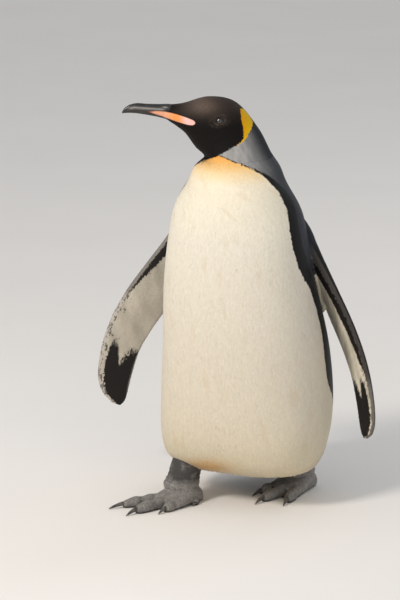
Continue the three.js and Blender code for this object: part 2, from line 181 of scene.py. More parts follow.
def mesh_object(name, points, faces, uv=None, tone=None):
    """An object from points and faces with as many corners each; uv is per corner, tone per point."""
    points, faces = np.asarray(points, float).reshape(-1, 3), np.asarray(faces)
    mesh = bpy.data.meshes.new(name)
    mesh.vertices.add(len(points))
    mesh.vertices.foreach_set("co", points.ravel())
    mesh.loops.add(faces.size)
    mesh.loops.foreach_set("vertex_index", faces.ravel().astype(np.int32))
    mesh.polygons.add(len(faces))
    mesh.polygons.foreach_set("loop_start", (np.arange(len(faces)) * faces.shape[1]).astype(np.int32))
    smooth(mesh)
    mesh.update(calc_edges=True)
    if uv is not None:
        mesh.uv_layers.new(name="OFBake").data.foreach_set("uv", np.asarray(uv, float).ravel())
    if tone is not None:
        set_tone(mesh, tone)
    made = bpy.data.objects.new(name, mesh)
    bpy.context.scene.collection.objects.link(made)
    return made


def set_tone(mesh, tone):
    """Stores a linear colour on every point as the attribute 'tone'."""
    layer = mesh.attributes.new("tone", "FLOAT_COLOR", "POINT")
    layer.data.foreach_set("color", np.concatenate([tone, np.ones((len(tone), 1))], 1).ravel())


print("a grid of 3 by 4 points has", len(grid_faces(3, 4)), "faces")

# %% Work on whole meshes
def points_of(made):
    """A mesh's points as an array."""
    out = np.empty(len(made.data.vertices) * 3)
    made.data.vertices.foreach_get("co", out)
    return out.reshape(-1, 3)


def closed_loft(name, rings):
    """A closed surface over rings of points; each end is closed by a fan about the ring's middle."""
    rows, columns = rings.shape[:2]
    tips = np.stack([rings[0].mean(0), rings[-1].mean(0)])
    points = np.concatenate([rings.reshape(-1, 3), tips])
    c = np.arange(columns)
    n, last = (c + 1) % columns, (rows - 1) * columns
    first_fan = np.stack([np.full(columns, rows * columns), n, c, c], -1)
    last_fan = np.stack([np.full(columns, rows * columns + 1), last + c, last + n, last + n], -1)
    made = mesh_object(name, points, np.concatenate([grid_faces(rows, columns), first_fan, last_fan]))
    tidy_solid(made)
    return made


def tidy_solid(made):
    """Merges doubled points and turns every face outwards."""
    work = bmesh.new()
    work.from_mesh(made.data)
    bmesh.ops.remove_doubles(work, verts=work.verts, dist=1e-6)
    bmesh.ops.dissolve_degenerate(work, dist=1e-7, edges=work.edges)
    bmesh.ops.recalc_face_normals(work, faces=work.faces)
    work.to_mesh(made.data)
    work.free()
    smooth(made.data)


def joined(name, parts):
    """Several mesh objects as one."""
    bpy.ops.object.select_all(action="DESELECT")
    for part in parts:
        part.select_set(True)
    bpy.context.view_layer.objects.active = parts[0]
    bpy.ops.object.join()
    parts[0].name = parts[0].data.name = name
    return parts[0]


def applied(made, kind, **settings):
    """Works one modifier into the object's mesh."""
    modifier = made.modifiers.new(kind, kind)
    for key, value in settings.items():
        setattr(modifier, key, value)
    result = bpy.data.meshes.new_from_object(made.evaluated_get(bpy.context.evaluated_depsgraph_get()))
    made.modifiers.clear()
    made.data = result
    smooth(result)


# %% [markdown]
# ## Flipper surface
# A penguin's flipper is a stiff blade, thick along its leading edge and thin behind. Along it, s runs from
# the shoulder joint to the tip; round it, an angle runs from the leading edge over the outer face to the
# trailing edge and back under. Both flippers have one plan, and each is hung on its own line.

# %% The two flippers
# s, leading edge, trailing edge, half thickness
FLIPPER = np.array([
    [-0.16, 6, -14, 8],
    [-0.05, 27, -30, 15],
    [0.1, 40, -31, 12],
    [0.26, 55, -25, 8.5],
    [0.42, 69, -17, 7.2],
    [0.57, 76, -5, 6.4],
    [0.7, 75, 1, 5.6],
    [0.82, 67, -3, 4.8],
    [0.91, 55, -8, 4.0],
    [0.97, 36, -10, 3.0],
    [1.0, 12, -5, 1.6],
])
FLIPPER_END = len(FLIPPER) - 1
FLIPPER_BOW, FLIPPER_TAPER, FLIPPER_SQUARE = 14, 0.4, 2.1
OUT = {"left": 1, "right": -1}  # which way is outwards, for each side
SHOULDERS = {"left": (111, 30, 505), "right": (-130, 25, 505)}
FLIPPER_TIPS = {"left": (223, 68, 123), "right": (-295, 40, 138)}
CHORDS = {"left": (0.787, -0.615, 0.1), "right": (-0.881, -0.291, 0.372)}


def unit(vectors):
    """Vectors scaled to a length of one."""
    return vectors / np.maximum(np.linalg.norm(vectors, axis=-1, keepdims=True), 1e-12)


def flipper_axes(side):
    """The joint, the line to the tip, the direction of the leading edge and the outward direction."""
    joint, tip = np.array(SHOULDERS[side], float), np.array(FLIPPER_TIPS[side], float)
    span, chord = tip - joint, np.array(CHORDS[side])
    chord = unit(chord - unit(span) * (chord @ unit(span)))
    return joint, span, chord, unit(np.cross(chord, span)) * OUT[side]


def flipper_surface(side, t, angle, depth=0.0):
    """Point on the line, plus half the chord times the cosine, plus the thickness times the sine."""
    t, angle = np.broadcast_arrays(np.asarray(t, float), np.asarray(angle, float))
    joint, span, chord, outward = flipper_axes(side)
    s, lead, trail, thick = np.moveaxis(through(FLIPPER, t), -1, 0)
    a = squared(np.cos(angle), FLIPPER_SQUARE)
    b = squared(np.sin(angle), FLIPPER_SQUARE) * (1 + FLIPPER_TAPER * a)
    along_chord = (lead + trail) / 2 + np.maximum((lead - trail) / 2 - depth, 0.5) * a
    off = FLIPPER_BOW * np.sin(np.pi * np.maximum(s, 0)) + np.maximum(thick - depth, 0.5) * b
    points = joint + s[..., None] * span + along_chord[..., None] * chord + off[..., None] * outward
    return (points + ORIGIN_SHIFT) / 1000


def flipper_place(side, points):
    """s, the distance towards the leading edge, and the distance outwards from the blade's middle."""
    joint, span, chord, outward = flipper_axes(side)
    offset = np.asarray(points) * 1000 - ORIGIN_SHIFT - joint
    s = offset @ span / (span @ span)
    return s, offset @ chord, offset @ outward - FLIPPER_BOW * np.sin(np.pi * np.clip(s, 0, 1))


def flipper_edges(s):
    """Leading edge, trailing edge and half thickness of the blade at s."""
    return [np.interp(s, FLIPPER[:, 0], FLIPPER[:, i]) for i in (1, 2, 3)]


print("left tip", np.round(flipper_surface("left", FLIPPER_END, 0.0), 3))

# %% [markdown]
# ## Legs and feet
# The legs are short and thick and end under the belly's feathers. Each foot has a broad pad, three long
# webbed toes and a small hind toe. Each foot could be shaped where it stands, but it is simpler to lay one
# out pointing forwards from the ankle, then turn it, so both feet share one plan.

# %% Sizes of the limbs
LIMBS = {
    "left": {"ankle": (80, 92), "shank": (73, 88.9), "hip": (60, 36), "heading": 12},
    "right": {"ankle": (-86, -84), "shank": (-95.5, -88.3), "hip": (-76, -50), "heading": 25},
}
REACH = {"left": {"outer": 0.84}, "right": {"inner": 0.86}}  # toes that are drawn in
LEG_TOP, LEG_BEND = 140, 36
# up, half length, half width
LEG = np.array([
    [12, 25, 24], [24, 31, 30.5], [38, 34, 34], [51, 31, 31], [64, 30.5, 31], [90, 30.5, 30.5],
    [LEG_TOP, 30.5, 30.5],
])
ANKLE_FOLDS = ((42, 0.08), (50, 0.09), (58, 0.06))  # height, and depth as a share of the shank
FOLD_WIDTH = 1.6
# forward, half width, top
PAD = np.array([
    [-30, 6, 12], [-25, 20, 25], [-12, 28, 35], [4, 32, 38], [26, 35, 32], [46, 37, 24], [64, 34, 17],
])
SOLE_DEPTH = 6  # how far the pads reach under the ground before they are cut flat
TOE_SQUARE = 2.25
# root forward and inward, end, claw tip, half width, top
TOES = {
    "inner": ((22, 18), (90, 33), (113, 37), 10.5, 22),
    "middle": ((24, 0), (127, 1), (153, 2), 11.5, 24),
    "outer": ((22, -18), (122, -45), (150, -54), 10.5, 22),
    "hind": ((-8, 22), (9, 35), (18, 38), 5, 14),
}


def toes_of(side):
    """Each toe of one foot, its end and claw drawn in to the toe's reach."""
    drawn = {}
    for name, (root, end, tip, half, top) in TOES.items():
        share = REACH[side].get(name, 1)
        nearer = [tuple(np.add(root, np.subtract(place, root) * share)) for place in (end, tip)]
        drawn[name] = (root, *nearer, half, top)
    return drawn


print("ankles at", {side: limb["ankle"] for side, limb in LIMBS.items()})

# %% Placing and drawing a limb
def place_limb(side, points):
    """(forward, left, up) points of a foot to the frame: turned to its heading, then set on its ankle."""
    limb = LIMBS[side]
    f, l, u = np.moveaxis(np.asarray(points, float), -1, 0)
    x, y = turned(l, -f, -np.radians(limb["heading"]))
    return (np.stack([x + limb["ankle"][0], y + limb["ankle"][1], u], -1) + ORIGIN_SHIFT) / 1000


def limb_place(side, points):
    """Undoes place_limb: forward, inward and up from the ankle, in mm."""
    limb = LIMBS[side]
    x, y, u = np.moveaxis(np.asarray(points) * 1000 - ORIGIN_SHIFT, -1, 0)
    l, back = turned(x - limb["ankle"][0], y - limb["ankle"][1], np.radians(limb["heading"]))
    return -back, l * -OUT[side], u


def circle(count):
    """Angles spaced evenly once round."""
    return np.linspace(0, 2 * np.pi, count, endpoint=False)


def ring_loft(middle, along, across, square, sides):
    """Rings of points: middle plus two half axes times the squared-off cosine and sine."""
    a, b = squared(np.cos(circle(sides)), square), squared(np.sin(circle(sides)), square)
    return middle[:, None] + along[:, None] * a[:, None] + across[:, None] * b[:, None]


def digit_rings(side, start, end, rows, samples=40, sides=28):
    """Rings along a toe or claw; rows hold the share of its length, half width, top and underside."""
    start, span = np.array(start, float), np.subtract(end, start).astype(float)
    run = unit(span)
    share, half, top, under = through(rows, np.linspace(0, len(rows) - 1, samples)).T
    flat = start + share[:, None] * span
    middle = gather(flat[:, 0], -OUT[side] * flat[:, 1], (top + under) / 2)
    along = gather(0, 0, (top - under) / 2)
    across = gather(-run[1] * half, -OUT[side] * run[0] * half, 0)
    return place_limb(side, ring_loft(middle, along, across, TOE_SQUARE, sides))


def toe_rows(half, top):
    """A toe swells at its two knuckles and ends round."""
    return [
        [-0.04, half * 0.5, top * 0.9, -3], [0.1, half * 1.02, top, -4], [0.3, half * 0.9, top * 0.86, -4],
        [0.45, half * 1.04, top * 0.9, -4], [0.6, half * 0.88, top * 0.78, -4],
        [0.74, half * 1.08, top * 0.86, -4], [0.88, half * 0.9, top * 0.72, -4],
        [0.97, half * 0.68, top * 0.6, -2], [1.0, half * 0.3, top * 0.46, 2],
    ]


def claw_rows(top):
    """A claw tapers and curves down to a blunt point just clear of the ground."""
    return [
        [-0.5, 3.0, top * 0.58, top * 0.2], [0.0, 3.5, top * 0.57, top * 0.19],
        [0.35, 2.8, top * 0.48, top * 0.16], [0.7, 1.8, top * 0.32, 1.9], [0.93, 0.9, 3.6, 0.9],
        [1.0, 0.3, 2.0, 1.0],
    ]


print("a toe is drawn by", len(toe_rows(1, 1)), "rows and a claw by", len(claw_rows(1)))

# %% [markdown]
# ## One skin
# On the bird one skin runs from the bill to the toes. It could be modelled by hand, but every part already
# has its surface. So closed lofts are made a millimetre or two under the tips of the coat and grown together
# on a fine grid of voxels, which leaves no seam. The feet need a finer grid than the trunk, so they are
# grown apart and the two are united.

# %% Body, flippers and tail grown together
FLIPPER_DEPTH = 1.3  # depth of the coat on the flippers
# forward, up, half width, half thickness
TAIL = np.array([
    [-82, 112, 34, 22], [-110, 78, 42, 20], [-131, 50, 38, 13], [-147, 28, 29, 7.5], [-158, 13, 17, 4],
    [-161, 8.5, 8, 2],
])
TAIL_FLESH = [1, 1, 0.8, 0.7]  # the flesh is narrower and thinner than the quills that cover it
TAIL_FLESH_END = 3.2


def coat_depth(t):
    """The coat's depth in mm over slice t; it thins from the trunk to the face."""
    return np.interp(t, [0, 10.5, 13, 15.5, 18], [1.8, 1.8, 1.7, 1.6, 1.3])


def skin_body():
    """The trunk, neck and head, one closed loft."""
    t = np.linspace(0, BILL_END, 190)[:, None]
    return closed_loft("skin_body", body_surface(t, circle(120)[None], coat_depth(t)))


def skin_flipper(side):
    """One flipper as a closed loft whose root lies in the trunk."""
    t = np.linspace(0, FLIPPER_END, 90)[:, None]
    return closed_loft("skin_flipper_" + side, flipper_surface(side, t, circle(48)[None], FLIPPER_DEPTH))


def skin_tail():
    """The fleshy root of the tail: flat rings along a line that runs down and back."""
    f, u, half, thick = through(TAIL[:-1] * TAIL_FLESH, np.linspace(0, TAIL_FLESH_END, 30)).T
    run = unit(np.stack([np.gradient(f), np.gradient(u)], -1))
    along = gather(-run[:, 1] * thick, 0, run[:, 0] * thick)
    return closed_loft("skin_tail", pose(ring_loft(gather(f, 0, u), along, gather(0, half, 0), 2.2, 32)))


upper = joined("upper_skin", [skin_body(), skin_flipper("left"), skin_flipper("right"), skin_tail()])
applied(upper, "REMESH", mode="VOXEL", voxel_size=0.0045)
applied(upper, "SMOOTH", factor=0.5, iterations=3)
print("upper skin:", len(upper.data.polygons), "faces")

# %% Legs and feet grown together
WEB_REACH, WEB_NOTCH = 0.88, 0.64
WEB_TOP, WEB_SAG, WEB_SLOPE, WEB_UNDERSIDE = 11, 5, 3, 1.2


def bell(x, middle, width):
    """1 at the middle, falling to both sides as e to minus the squared distance, counted in widths."""
    return np.exp(-(((x - middle) / width) ** 2))


def skin_leg(side):
    """The shank: upright rings that bend towards the hip above the ankle."""
    limb = LIMBS[side]
    up, long, half = through(LEG, np.linspace(0, len(LEG) - 1, 60)).T
    start = turned(*np.subtract(limb["shank"], limb["ankle"]), np.radians(limb["heading"]))
    run = turned(*np.subtract(limb["hip"], limb["shank"]), np.radians(limb["heading"]))
    share = np.maximum(0, (up - LEG_BEND) / (LEG_TOP - LEG_BEND))
    fold = 1 - sum(deep * bell(up, at, FOLD_WIDTH) for at, deep in ANKLE_FOLDS)
    middle = gather(-start[1] - run[1] * share, start[0] + run[0] * share, up)
    rings = ring_loft(middle, gather(long * fold, 0, 0), gather(0, half * fold, 0), 2.2, 64)
    return closed_loft("leg", place_limb(side, rings))


def skin_pad(side):
    """The broad sole and instep: rings from heel to toes."""
    f, half, top = through(PAD, np.linspace(0, len(PAD) - 1, 50)).T
    middle, along = gather(f, 0, (top - SOLE_DEPTH) / 2), gather(0, 0, (top + SOLE_DEPTH) / 2)
    return closed_loft("pad", place_limb(side, ring_loft(middle, along, gather(0, half, 0), 2.3, 48)))


def skin_web(side, one, other):
    """A web: straight lines between two toes, sagging in the middle, ending in a hollow curve."""
    (r1, e1, *_), (r2, e2, *_) = toes_of(side)[one], toes_of(side)[other]
    across, along = np.linspace(0, 1, 30)[None, :], np.linspace(0, 1, 40)[:, None]
    sag = 4 * across * (1 - across)
    reach = along * (WEB_REACH - (WEB_REACH - WEB_NOTCH) * sag)
    f, inward = [
        (r1[i] + (e1[i] - r1[i]) * reach) * (1 - across) + (r2[i] + (e2[i] - r2[i]) * reach) * across
        for i in (0, 1)
    ]
    top = WEB_TOP - WEB_SAG * sag - WEB_SLOPE * along + 0.4 * np.sin(across * 20) * sag
    sheet = [gather(f, -OUT[side] * inward, z) for z in (top, WEB_UNDERSIDE)]
    rings = np.concatenate([sheet[0], sheet[1][:, ::-1]], 1)
    return closed_loft("web", place_limb(side, rings))


def skin_foot(side):
    """Leg, pad, toes and webs of one side."""
    toes = [
        closed_loft("toe", digit_rings(side, root, end, toe_rows(half, top)))
        for root, end, _, half, top in toes_of(side).values()
    ]
    webs = [skin_web(side, "inner", "middle"), skin_web(side, "middle", "outer")]
    return [skin_leg(side), skin_pad(side), *toes, *webs]


feet = joined("feet_skin", skin_foot("left") + skin_foot("right"))
applied(feet, "REMESH", mode="VOXEL", voxel_size=0.0017)
applied(feet, "SMOOTH", factor=0.5, iterations=2)
flat = points_of(feet)
flat[:, 2] = np.maximum(flat[:, 2], 0)
feet.data.vertices.foreach_set("co", flat.ravel())
print("feet:", len(feet.data.polygons), "faces, lowest", round(flat[:, 2].min(), 4))

# %% The two united
applied(upper, "BOOLEAN", operation="UNION", object=feet, solver="MANIFOLD")
bpy.data.objects.remove(feet)
skin = upper
skin.name = skin.data.name = "skin"
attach(skin, "root")
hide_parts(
    "trunk", "neck", "head", "tail", "flipper_left", "flipper_right",
    "leg_left", "leg_right", "foot_left", "foot_right",
)
print("skin:", len(skin.data.polygons), "faces")

# %% [markdown]
# ## Materials
# Feathers, horn and skin are all alive with small variation. Each material is wired from its own numbers:
# a colour stored on the mesh, noise at the scale of the real surface, a roughness that changes with the
# same noise, and a fine bump. A small class lets the wiring be written as sums.

# %% Shader sums
def linear(*rgb):
    """A screen colour of 0 to 255 as linear light."""
    c = np.array(rgb, float) / 255
    return np.where(c <= 0.04045, c / 12.92, ((c + 0.055) / 1.055) ** 2.4)


print("cream in linear light", np.round(linear(238, 230, 210), 3))


class Wire:
    """A shader value that can be added, multiplied and so on like a number."""

    def __init__(self, shader, socket):
        self.shader, self.socket = shader, socket

    def maths(self, operation, *values):
        """One Math node."""
        return self.shader.node("Math", {"operation": operation}, dict(enumerate(values)))

    def __add__(self, other):
        return self.maths("ADD", self, other)

    def __rsub__(self, other):
        return self.maths("SUBTRACT", other, self)

    def __mul__(self, other):
        return self.maths("MULTIPLY", self, other)

    __radd__, __rmul__ = __add__, __mul__

    def between(self, low, high):
        """0 at low, 1 at high, straight between."""
        inputs = {"Value": self, "From Min": low, "From Max": high}
        return self.shader.node("MapRange", {"clamp": True}, inputs)


class Shader:
    """A material being wired round its Principled surface."""

    def __init__(self, name, **constants):
        self.material = bpy.data.materials.new(name)
        self.material.use_nodes = True
        self.tree = self.material.node_tree
        self.surface = self.tree.nodes["Principled BSDF"]
        for key, value in constants.items():
            self.surface.inputs[key.replace("_", " ")].default_value = value

    def feed(self, socket, value):
        """Links a wire to a socket, or sets the socket to a number or colour."""
        if isinstance(value, Wire):
            self.tree.links.new(value.socket, socket)
        else:
            socket.default_value = value

    def node(self, kind, settings=(), inputs=(), output=0):
        """A node of any kind: its settings are set first, then its sockets are fed."""
        made = self.tree.nodes.new("ShaderNode" + kind)
        for key, value in dict(settings).items():
            setattr(made, key, value)
        for key, value in dict(inputs).items():
            self.feed(made.inputs[key], value)
        return Wire(self, made.outputs[output])

    def place(self, stretch=(1, 1, 1)):
        """Object coordinates, stretched."""
        where = self.node("TexCoord", output="Object")
        return self.node("VectorMath", {"operation": "MULTIPLY"}, {0: where, 1: stretch})

    def noise(self, scale, detail=2.0, stretch=(1, 1, 1), rough=0.5):
        """Cloudy noise with this many blobs to a metre."""
        inputs = {"Vector": self.place(stretch), "Scale": scale, "Detail": detail, "Roughness": rough}
        return self.node("TexNoise", {}, inputs)

    def cells(self, scale, feature="F1"):
        """Cells with this many to a metre, as the distance to their middle or edge."""
        return self.node("TexVoronoi", {"feature": feature}, {"Vector": self.place(), "Scale": scale})

    def stored(self, name, output="Color"):
        """An attribute of the mesh."""
        return self.node("Attribute", {"attribute_name": name}, output=output)

    def mix(self, factor, a, b, blend="MIX"):
        """Colour a turning into colour b."""
        a, b = [(*map(float, c), 1) if not isinstance(c, Wire) else c for c in (a, b)]
        return self.node("Mix", {"data_type": "RGBA", "blend_type": blend}, {0: factor, 6: a, 7: b}, 2)

    def finish(self, color, roughness, height=None, strength=None, distance=None):
        """Feeds the surface's colour, its roughness, and its relief as a bump."""
        self.feed(self.surface.inputs["Base Color"], color)
        self.feed(self.surface.inputs["Roughness"], roughness)
        if height is not None:
            bump = self.node("Bump", {}, {"Strength": strength, "Distance": distance, "Height": height})
            self.feed(self.surface.inputs["Normal"], bump)
        return self.material


def settle(made, material, node=None):
    """Lets a piece ride on the bird, hides the CAD node it replaces, and gives it its material."""
    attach(made, "root")
    if node:
        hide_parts(node)
    made.data.materials.append(material)
    print(made.name, len(made.data.polygons), "faces")

# %% [markdown]
# ## Plumage colours
# A king penguin's pattern is crisp: a near-black hood with an orange-yellow patch behind each ear, a
# silver neck, a breast that runs from orange at the throat to white, a black line down each flank, and a
# slate-blue back. The edges are written as tables against height, so that the skin and every feather ask
# the same functions for their colour.

# %% Tables of the markings
# height against the bearing at which the pale breast ends
BREAST_EDGE = np.array([
    [30, 128], [170, 122], [207, 113], [222, 107], [246, 102], [290, 100], [345, 100], [385, 98], [428, 92],
    [452, 84], [473, 79], [513, 74], [550, 74], [587, 77], [624, 74], [643, 70], [651, 66], [663, 53],
    [670, 39], [677, 22], [684, 3], [690, -30],
])
BREAST_APEX = -5  # bearing of the breast's upper point, as the head is turned
BREAST_SOFT, HOOD_SOFT = 0.8, 0.6  # half the width over which one colour gives way to the next
HOOD_LOWEST = 666
# height against the width of the black line
LINE_WIDTH = np.array([
    [196, 0], [207, 10], [224, 30], [300, 40], [420, 40], [520, 30], [590, 28], [612, 24], [640, 14],
    [656, 7], [670, 4], [687, 3], [700, 0],
])
# height against how far forward the hood begins
HOOD_EDGE = np.array([
    [664, 90], [678, 71], [686, 56], [693, 41], [703, 22], [709, 10], [717, 3], [731, 1], [750, 4], [768, 5],
    [769, -60], [795, -60],
])
# height against the width of the ear patch behind the hood
PATCH_WIDTH = np.array([
    [703, 0], [707, 3], [717, 6], [725, 11], [733, 17], [741, 22], [750, 19], [758, 14], [766, 7],
    [769, 0],
])
# height against breast colour, darker towards the ground as painted shade
BREAST_TONES = np.array([
    [30, 202, 187, 159], [100, 208, 195, 168], [180, 215, 203, 181], [320, 218, 207, 188],
    [520, 226, 217, 199], [600, 236, 226, 204], [635, 240, 226, 200], [655, 243, 213, 164],
    [672, 240, 184, 106], [688, 235, 156, 68],
])
SLATE, FLANK, BACK = linear(35, 37, 41), linear(40, 42, 47), linear(76, 82, 92)
SILVER, BLACK = linear(170, 167, 163), linear(11, 9, 9)
HOOD, HOOD_SHEEN = linear(17, 13, 11), linear(100, 84, 74)
PATCH_INNER, PATCH_OUTER = linear(216, 150, 2), linear(226, 182, 20)
EYE_PLACE = np.array([46.3, 33.8, 749.4])  # forward, out and up
STAIN = linear(196, 152, 96)

print("breast ends between heights", BREAST_EDGE[0, 0], "and", BREAST_EDGE[-1, 0])

# %% Reading, blending and mottling
def table(rows, x, column=1):
    """A column of a table read at x."""
    return np.interp(x, rows[:, 0], rows[:, column])


def blend(a, b, share):
    """Colour a turning into colour b."""
    share = np.clip(share, 0, 1)[..., None]
    return a * (1 - share) + b * share


def mottle(x, y, z, size):
    """A soft blotchy pattern from about -1 to 1: two products of bent sine waves, added."""
    x, y, z = x / size, y / size, z / size
    one = np.sin(x * 1.7 + 1.3 * np.sin(y * 1.1 + z)) * np.cos(y * 1.9 + 1.1 * np.sin(z * 1.3 - x))
    two = np.sin(z * 2.3 + 1.7 * np.cos(x * 0.9 + y * 0.6)) * np.cos(x * 2.9 - z * 1.1)
    return 0.6 * one + 0.5 * two


print("the pale edge at the shoulder:", table(BREAST_EDGE, 550), "degrees from the middle")

# %% Colours of the trunk, neck and head
def breast_tone(f, l, u):
    """White to orange by height, darker towards the ground as painted shade, stained low on the right side
    and in faint blotches.
    """
    tone = np.moveaxis(linear(*[table(BREAST_TONES, u, i) for i in (1, 2, 3)]), 0, -1)
    low = bell(l, -34, 52) * bell(u - 0.1 * l, 84, 17)
    blotches = smoothstep(mottle(f, l * 2, u * 0.5, 21), 0.35, 1.0)
    tone = blend(tone, STAIN, 0.9 * low * (f > 0))
    return blend(tone, STAIN, 0.12 * blotches * (f > 0))


def dark_tone(f, l, u, around, past):
    """The back, flanks and neck, and the black line, where past is the distance behind the breast's edge."""
    silver = smoothstep(u, 612, 668) * smoothstep(around, 104, 40) * (0.86 + 0.14 * mottle(f, l, u * 0.4, 6))
    tone = blend(FLANK, BACK, smoothstep(around, 118, 160) * smoothstep(u, 690, 560))
    tone = blend(blend(tone, SLATE, smoothstep(u, 600, 680)), SILVER, silver)
    tone = blend(tone, BLACK, smoothstep(f, 50, 58) * smoothstep(u, 702, 692) * smoothstep(u, 640, 660))
    line = table(LINE_WIDTH, u)
    return blend(BLACK, tone, smoothstep(past, line - 1.5, line + 5))


def eye_folds(f, l, u):
    """How much the lids' folds catch the light: a ring close about the eye and a fainter one outside it."""
    past = f - EYE_PLACE[0]
    over = u - EYE_PLACE[2] + 0.12 * past
    from_eye = np.hypot(past * 0.62, over)
    near = bell(from_eye, 6.4, 1.5) * (0.35 + 0.65 * smoothstep(-over - 0.3 * past, -4, 5))
    return 0.5 * near + 0.22 * bell(from_eye, 11, 1.9) * (0.6 + 0.6 * mottle(f, l, u, 7))


def hood_tone(f, l, u):
    """Near black, with a brown sheen on the crown and on the folds about the eye."""
    crown = bell(f, 76, 26) * bell(u, 778, 15) + 0.3 * smoothstep(u, 735, 780) * smoothstep(f, 140, 100)
    sheen = np.clip(0.8 * crown + eye_folds(f, l, u), 0, 1) * (0.9 + 0.1 * mottle(f, l, u, 3))
    return blend(HOOD, HOOD_SHEEN, sheen)


def body_tone(points):
    """The plumage colour at posed points of the trunk, neck and head."""
    f, l, u, bearing = straighten(points)
    around = np.abs(bearing - BREAST_APEX * smoothstep(u, 612, 648))
    past = np.radians(around - table(BREAST_EDGE, u)) * np.hypot(f - NECK_AXIS_FORWARD, l)
    past = past + 0.5 * mottle(f, l, u, 5)
    behind = table(HOOD_EDGE, u) - f + 0.5 * mottle(f, l, u, 4)
    width = table(PATCH_WIDTH, u) * smoothstep(np.abs(l), 1, 4)
    patch = blend(PATCH_INNER, PATCH_OUTER, behind / np.maximum(width, 1))
    dark = dark_tone(f, l, u, around, past)
    tone = blend(breast_tone(f, l, u), dark, smoothstep(past, -BREAST_SOFT, BREAST_SOFT))
    tone = blend(tone, patch, smoothstep(width - behind, -HOOD_SOFT, HOOD_SOFT) * (width > 0.5))
    return blend(tone, hood_tone(f, l, u), smoothstep(behind, HOOD_SOFT, -HOOD_SOFT) * (u > HOOD_LOWEST))


print("throat", np.round(body_tone(body_surface(np.array([13.2]), np.array([0.3]))), 3))

# %% [markdown]
# ## Flipper colours
# A flipper is slate above with a pale rear edge. Beneath it is cream, with a dark tip, a dark band along the
# leading edge, and a rim outside that band that wears to mottled silver. The marks could be brushed on, but
# written as distances from the blade's edges they fit both flippers.

# %% Colours of the flippers
# the same cream under both flippers: lighter on the left as painted light, darker on the right as painted
# shade
UNDER_FLIPPER_LIT_AND_SHADED = {"left": linear(240, 230, 208), "right": linear(198, 189, 172)}
UNDER_SHADE, RIM = linear(164, 155, 140), linear(188, 179, 168)
FLIPPER_DARK, FLIPPER_BACK = linear(28, 24, 23), linear(50, 54, 60)
# s against the distance from the leading edge at which the dark band along it ends
BAND_END = {
    "left": ([0.4, 0.62, 0.7], [24, 16, 4]),
    "right": ([0.1, 0.24, 0.35, 0.43, 0.46], [23, 18, 11, 7, 3]),
}
# distance from the leading edge against the s at which the dark tip starts
TIP_START = ([9, 12, 17, 30, 40, 60, 80], [1.1, 0.84, 0.70, 0.695, 0.79, 0.715, 0.685])
# how pale the rim is at first and at last, and the s between which it changes
RIM_WORN = {"left": (0, 0.25, 0.66, 0.76), "right": (0.4, 1.0, 0.4, 0.5)}
RIM_DARK = 0.9  # share of dark in a rim that is not worn


def under_tone(side, s, inside, rough, fine, shade):
    """The flipper's pale underside, with painted light on the left and painted shade on the right, with
    specks, a worn rim, a dark band inside the rim and a dark tip.
    """
    tone = blend(UNDER_FLIPPER_LIT_AND_SHADED[side], UNDER_SHADE, 0.35 + 0.45 * shade + 0.12 * rough)
    specks = smoothstep(fine + rough - (inside - 16) / 12, 0.9, 1.2) * (inside < 30)
    tone = blend(tone, FLIPPER_DARK, 0.8 * specks)
    at_first, at_last, first, last = RIM_WORN[side]
    worn = at_first + (at_last - at_first) * smoothstep(s, first, last)
    dark = np.maximum(0.6 * smoothstep(rough + fine, 0.15, 0.6), RIM_DARK * (1 - worn))
    tone = blend(tone, blend(RIM, FLIPPER_DARK, dark), smoothstep(inside, 8, 5))
    end = np.interp(s + 0.03 * rough, *BAND_END[side])
    tone = blend(tone, FLIPPER_DARK, smoothstep(inside, 5, 7) * smoothstep(inside, end + 1.5, end - 1.5))
    start = np.interp(inside, *TIP_START)
    return blend(tone, FLIPPER_DARK, smoothstep(s + 0.014 * rough + 0.02 * fine, start - 0.02, start + 0.02))


def flipper_tone(side, points):
    """The colour at posed points of a flipper: pale and marked beneath, slate above."""
    s, chord, out = flipper_place(side, points)
    lead, trail = flipper_edges(s)[:2]
    x, y, z = np.moveaxis(points * 1000, -1, 0)
    rough = mottle(x, y, z * 0.6, 7)
    fine = mottle(x, y, z * 0.5, 2.2) + 0.5 * mottle(y, z * 0.4, x, 1.1)
    inside, from_back = lead - chord + 1.5 * fine, chord - trail + fine
    under = under_tone(side, s, inside, rough, fine, mottle(x, z * 0.5, y, 17))
    over = blend(FLIPPER_BACK, FLIPPER_DARK, 0.35 + 0.3 * rough)
    over = blend(over, FLIPPER_DARK, smoothstep(inside, 16, 8) * smoothstep(s, 0.76, 0.68))
    pale_edge = smoothstep(from_back, 3.5, 1.5) * smoothstep(s, 0.1, 0.2) * smoothstep(s, 0.94, 0.88)
    return blend(under, blend(over, RIM, pale_edge), smoothstep(out, -1.5, 0.5))


tip_tone = flipper_tone("left", flipper_surface("left", np.array([9.5]), np.array([4.7])))
print("dark tip", np.round(tip_tone, 3))

# %% [markdown]
# ## Skin of the bird
# Under the coat the skin shows only where the feathers part, and on the legs and feet, where it is bare.
# Bare skin is dark, leathery and pebbled with small scales, dusty where it rubs the ground. The covered
# skin carries the same pattern as the feathers above it.

# %% Colours of the skin
FOOT_DARK, FOOT_GREY, FOOT_DUST = linear(42, 39, 37), linear(170, 163, 155), linear(200, 193, 182)
SHANK_ROOM = 56  # everything this near the ankle's line is leg


def flipper_share(side, points):
    """1 on a flipper, 0 on the trunk, judged by the plan of the blade."""
    s, chord, out = flipper_place(side, points)
    lead, trail, thick = flipper_edges(s)
    inside = np.minimum.reduce([lead + 4 - chord, chord - trail + 4, thick + 5 - np.abs(out)])
    return smoothstep(inside, 0, 2) * smoothstep(s, 0.03, 0.08) * (s < 1.04)


